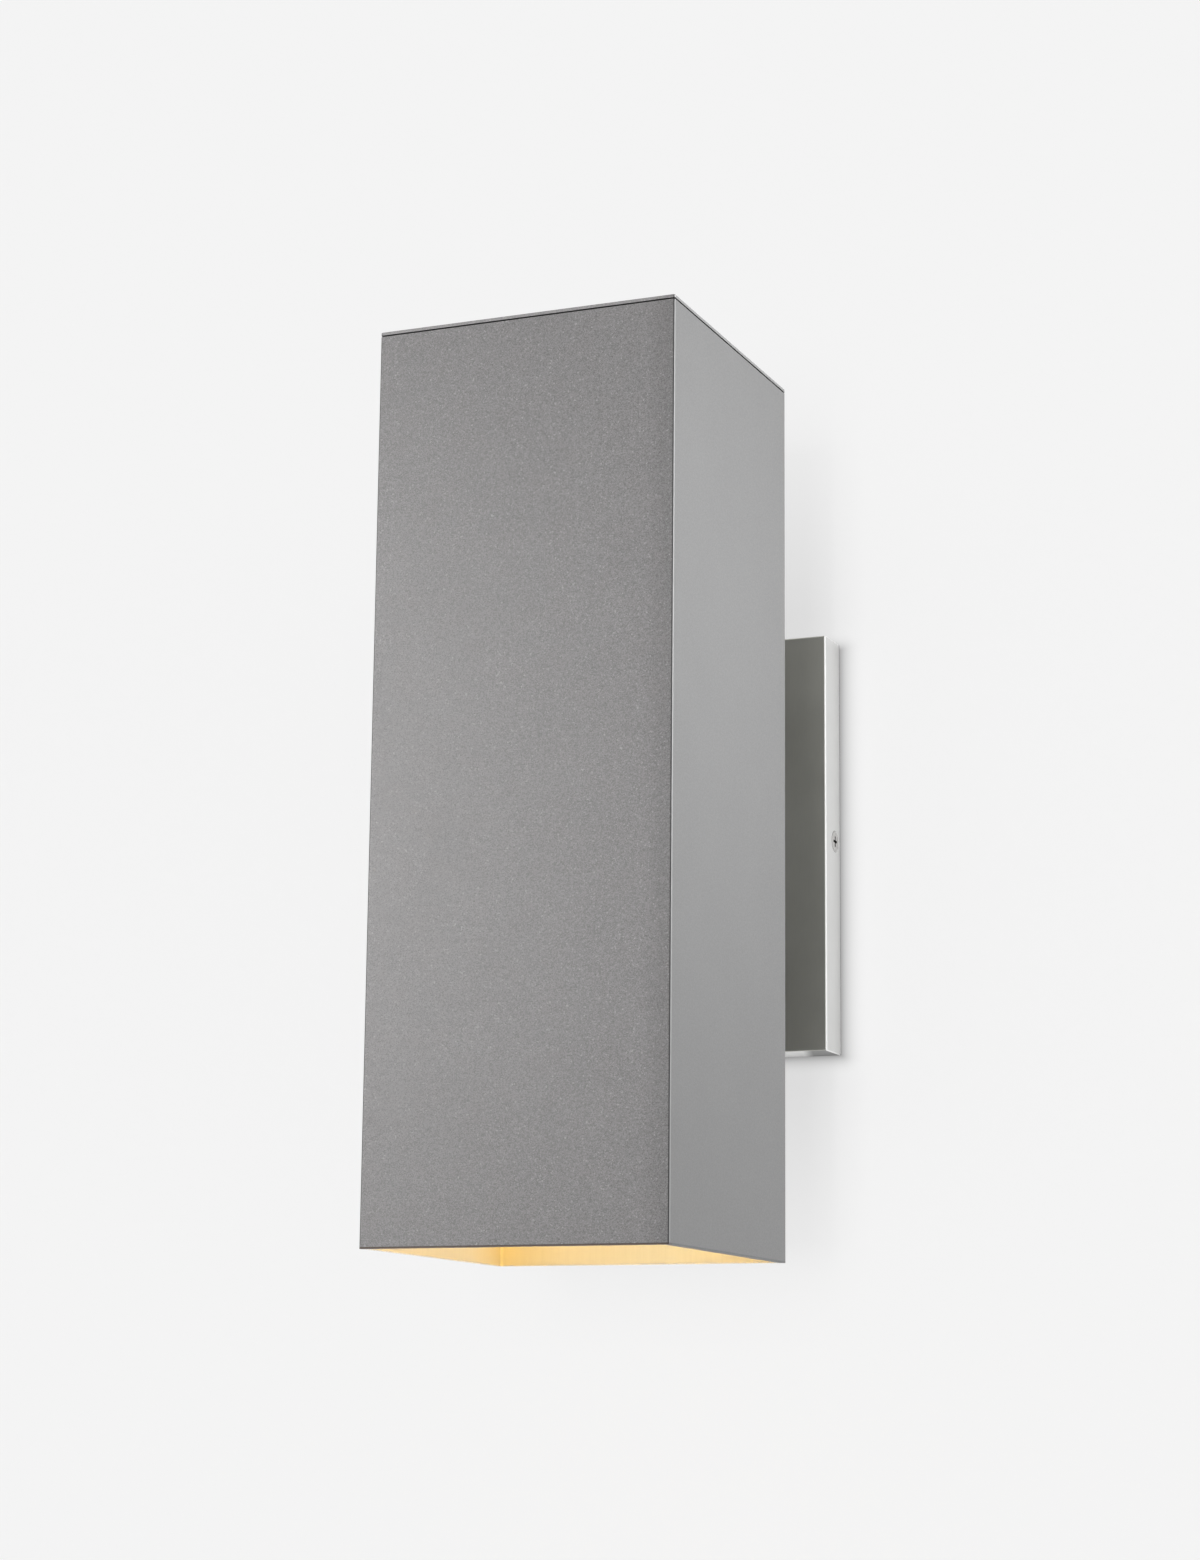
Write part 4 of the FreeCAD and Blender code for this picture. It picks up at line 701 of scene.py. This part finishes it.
def past(tree, place, low, high):
    """How far a place lies outside the span from low to high, and zero inside it."""
    middle = (low + high) / 2
    away = tree.size(tree.minus(place, middle))
    return tree.larger(tree.minus(away, (high - low) / 2), 0)


def canopy_shade(tree):
    """The soft contact shade on the wall round the canopy, widest on its right."""
    x, _, z = tree.axes()
    beside = past(tree, x, canopy_low.x + LIT_SIDE, canopy_high.x)
    above = past(tree, z, canopy_low.z, canopy_high.z - LIT_SIDE)
    near = tree.span(tree.length(beside, tree.times(above, 1.35)), CONTACT_REACH, 0)
    return tree.span(tree.sums("POWER", near, CONTACT_FALL), 0, 1, 1.0, CONTACT_LEVEL)


def backdrop_material(name):
    """Pale painted board: its own colour for the eye, and its shading for the object's shadow. Its colour and
    glow carry a painted contact shadow round the canopy, and its glow takes a larger share above and below
    the object, which paints the object's shadow fainter there.
    """
    made, tree, shader = new_material(name)
    grain = tree.noise(3 * MM, 2.0)
    shade = canopy_shade(tree)
    board = tree.scaled(WALL_COLOUR, tree.times(tree.span(grain, 0.3, 0.7, 0.998, 1.002), shade))
    finish_with(tree, shader, Base_Color=board, Roughness=0.9, Specular_IOR_Level=0.0)
    glow = tree.add("ShaderNodeEmission", {"Color": BACKGROUND, "Strength": shade})
    # A larger share of glow above and below the object paints its shadow fainter there
    away = tree.size(tree.axes()[2])
    shine = tree.span(away, 0.28 * tube_height, 0.54 * tube_height, WALL_SHINE, WALL_SHINE_PAST_ENDS)
    seen = tree.times(tree.rays(), shine)
    mixed = tree.add("ShaderNodeMixShader", {"Fac": seen})
    tree.tree.links.new(shader.outputs[0], mixed.inputs[1])
    tree.tree.links.new(glow.outputs[0], mixed.inputs[2])
    one_sided(tree, mixed.outputs[0])
    return made


def stage_piece(name, points, faces, material):
    mesh = bpy.data.meshes.new(name)
    mesh.from_pydata(points, [], faces)
    mesh.materials.append(material)
    piece = bpy.data.objects.new(name, mesh)
    bpy.context.scene.collection.objects.link(piece)
    return piece


def make_wall(material):
    """Wall behind the object, open where the outlet box sits behind the canopy."""
    behind = 0.2 * MM
    inset = 0.7 * MM
    points = []
    for across, low, high in (
        (STAGE_REACH, -FLOOR_DROP, STAGE_REACH),
        (canopy_high.x - inset, canopy_low.z + inset, canopy_high.z - inset),
    ):
        for x, z in ((-across, low), (across, low), (across, high), (-across, high)):
            points.append((x, behind, z))
    faces = [(i, (i + 1) % 4, 4 + (i + 1) % 4, 4 + i) for i in range(4)]
    return stage_piece("wall", points, faces, material)


def make_floor(material):
    """Floor well below the camera's view, where the wall ends."""
    rows = ((-STAGE_REACH, -STAGE_REACH), (STAGE_REACH, -STAGE_REACH), (STAGE_REACH, 0), (-STAGE_REACH, 0))
    points = [(x, y, -FLOOR_DROP) for x, y in rows]
    return stage_piece("floor", points, [(0, 1, 2, 3)], material)


def make_world():
    """A pale studio: its own level for the eye, and a dimmer one for the light, darkest below."""
    world = bpy.data.worlds.new("studio")
    world.use_nodes = True
    bpy.context.scene.world = world
    tree = Tree(world.node_tree)
    background = world.node_tree.nodes["Background"]
    toward = tree.add("ShaderNodeTexCoord").outputs["Generated"]
    height = tree.add("ShaderNodeSeparateXYZ", {"Vector": toward}).outputs[2]
    light = tree.span(height, -0.5, 0.6, FLOOR_LEVEL, SKY_LEVEL)
    seen = {0: tree.rays(), 2: light, 3: BACKGROUND[0]}
    level = tree.add("ShaderNodeMix", seen, data_type="FLOAT").outputs[0]
    finish_with(tree, background, Color=(1, 1, 1), Strength=level)


def area_lamp(name, place, target, wide, tall, watts, spread=180):
    """A soft lamp that the camera doesn't see."""
    data = bpy.data.lights.new(name, "AREA")
    data.shape = "RECTANGLE"
    data.size = wide
    data.size_y = tall
    data.energy = watts
    data.spread = math.radians(spread)
    lamp = bpy.data.objects.new(name, data)
    lamp.location = place
    lamp.rotation_euler = (Vector(target) - Vector(place)).to_track_quat("-Z", "Y").to_euler()
    lamp.visible_camera = False
    bpy.context.scene.collection.objects.link(lamp)
    return lamp


def link_receivers(lamp, name, pieces, state):
    """The lamp lights only these pieces, or all but these."""
    group = bpy.data.collections.new(name)
    for piece in pieces:
        group.objects.link(piece)
    for row in group.collection_objects:
        row.light_linking.link_state = state
    lamp.light_linking.receiver_collection = group


def make_lights(wall, floor):
    """Soft lamps on the object, and a far, broad pair that lights the wall, more from the middle."""
    for name, (place, target, side, watts, spread) in OBJECT_LAMPS.items():
        lamp = area_lamp(name, place, target, side, side, watts, spread)
        lamp.visible_glossy = name != LAMP_WITHOUT_IMAGE
        link_receivers(lamp, name + "_receivers", [wall, floor], "EXCLUDE")
    for name, (x, wide, share) in WALL_LAMPS.items():
        place, target = (x, WALL_LAMP_Y, WALL_LAMP_Z), (x, 0.0, WALL_LAMP_Z)
        lamp = area_lamp(name, place, target, wide, WALL_LAMP_TALL, WALL_LAMP_WATTS * share)
        link_receivers(lamp, name + "_receivers", [wall], "INCLUDE")


def make_camera():
    """The camera at the photograph's viewing angle."""
    ahead = Vector((
        -math.sin(CAMERA_YAW) * math.cos(CAMERA_PITCH),
        math.cos(CAMERA_YAW) * math.cos(CAMERA_PITCH),
        math.sin(CAMERA_PITCH),
    ))
    level = Vector((math.cos(CAMERA_YAW), math.sin(CAMERA_YAW), 0))
    upright = level.cross(ahead)
    across = math.cos(CAMERA_ROLL) * level + math.sin(CAMERA_ROLL) * upright
    up = math.cos(CAMERA_ROLL) * upright - math.sin(CAMERA_ROLL) * level
    foot = Vector((0, housing_high.y, housing_low.z))
    data = bpy.data.cameras.new("camera")
    data.sensor_fit = "AUTO"
    data.sensor_width = SENSOR_MM
    data.lens = FOCAL_PX * SENSOR_MM / PHOTO_HEIGHT_PX
    camera = bpy.data.objects.new("camera", data)
    bpy.context.scene.collection.objects.link(camera)
    turn = Matrix((across, up, -ahead)).transposed().to_4x4()
    camera.matrix_world = Matrix.Translation(foot + Vector(CAMERA_SHARES) * tube_height) @ turn
    bpy.context.scene.camera = camera


# Finishes of the CAD nodes


def dress(names, material):
    for name in names:
        mesh = nodes[name].data
        mesh.materials.clear()
        mesh.materials.append(material)


def dress_nodes():
    """Puts a material on every CAD node, and makes the two threads that take theirs."""
    zinc = zinc_plate("zinc", *ZINC, spots=3.0)
    dress(["line_lead"], lead_skin("black_insulation", *BLACK_LEAD))
    dress(["neutral_lead"], lead_skin("white_insulation", *WHITE_LEAD))
    dress(["ground_lead", "ground_pigtail"], lead_skin("green_insulation", *GREEN_LEAD))
    dress(["housing"], powder_coat("housing_powder_coat", opened=True))
    # The lid's copy of the paint is made lighter than the tube's: painted light
    dress(["lid"], powder_coat("lid_powder_coat", painted_lift=LID_PAINTED_LIGHT, eaves=True))
    dress(["arm"], powder_coat("arm_powder_coat"))
    dress(["lid_gasket", "arm_front_gasket", "arm_rear_gasket", "wall_gasket"], rubber("black_rubber"))
    dress(["canopy"], satin_nickel("satin_nickel"))
    side_screw = satin_metal("screw_nickel", BRIGHT_NICKEL, (1, 0.2, 0.2), (0.18, 0.3), face=screw_high.x)
    dress(["canopy_screws"], side_screw)
    steel = ["lid_crossbars", "lid_studs", "lid_nuts", "lid_lock_washers", "wall_bracket", "socket_bracket"]
    steel += ["socket_nipple", "socket_locknuts", "arm_front_screws", "arm_rear_screws"]
    dress(steel, zinc)
    dress(["ground_screws"], zinc_plate("green_zinc", *GREEN_ZINC, spots=1.2))
    tinned = satin_metal("tinned_copper", TIN, (1, 1, 0.3), (0.22, 0.38), cloud=0.05)
    dress(["ring_terminals"], tinned)
    dress(["wire_bushings"], moulded_plastic("black_nylon", *BLACK_NYLON))
    phenolic = moulded_plastic("phenolic", *PHENOLIC, (0.22, 0.36), skin=0.6, depth=0.01, coat=0.2)
    dress(["socket_cap", "socket_body"], phenolic)
    shell = satin_metal("shell_aluminium", ALUMINIUM, (1, 1, 0.1))
    dress(["screw_shell"], shell)
    make_shell_thread(shell)
    brass = satin_metal("brass", BRASS, (1, 0.3, 1), (0.2, 0.34), cloud=0.06)
    dress(["centre_contact", "terminal_screws"], brass)
    plated = satin_metal("plated_cap", BRIGHT_NICKEL, (0.2, 0.2, 1), (0.16, 0.28))
    dress(["lamp_cap_shell", "lamp_contact"], plated)
    make_cap_thread(plated)
    dress(["lamp_cap_insulator"], dark_glass("cap_glass"))
    collar = moulded_plastic("lamp_collar", *WHITE_COLLAR, (0.26, 0.36), skin=0.5, depth=0.006, coat=0.25)
    dress(["lamp_heat_sink"], collar)
    board_low, board_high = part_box("lamp_led_board")
    middle = (board_low + board_high) / 2
    dress(["lamp_led_board"], solder_mask("led_board", middle, (board_high.x - board_low.x) / 2))
    dress(["lamp_globe"], frosted_globe("frosted_globe"))
    dress(["wire_connectors"], moulded_plastic("connector_plastic", *ORANGE_CAP))


make_camera()
dress_nodes()
board = backdrop_material("pale_board")
wall = make_wall(board)
floor = make_floor(board)
make_world()
make_lights(wall, floor)
link_receivers(nodes["lamp_globe"], "globe_receivers", [wall, floor], "EXCLUDE")

bpy.context.scene.view_settings.view_transform = "Standard"
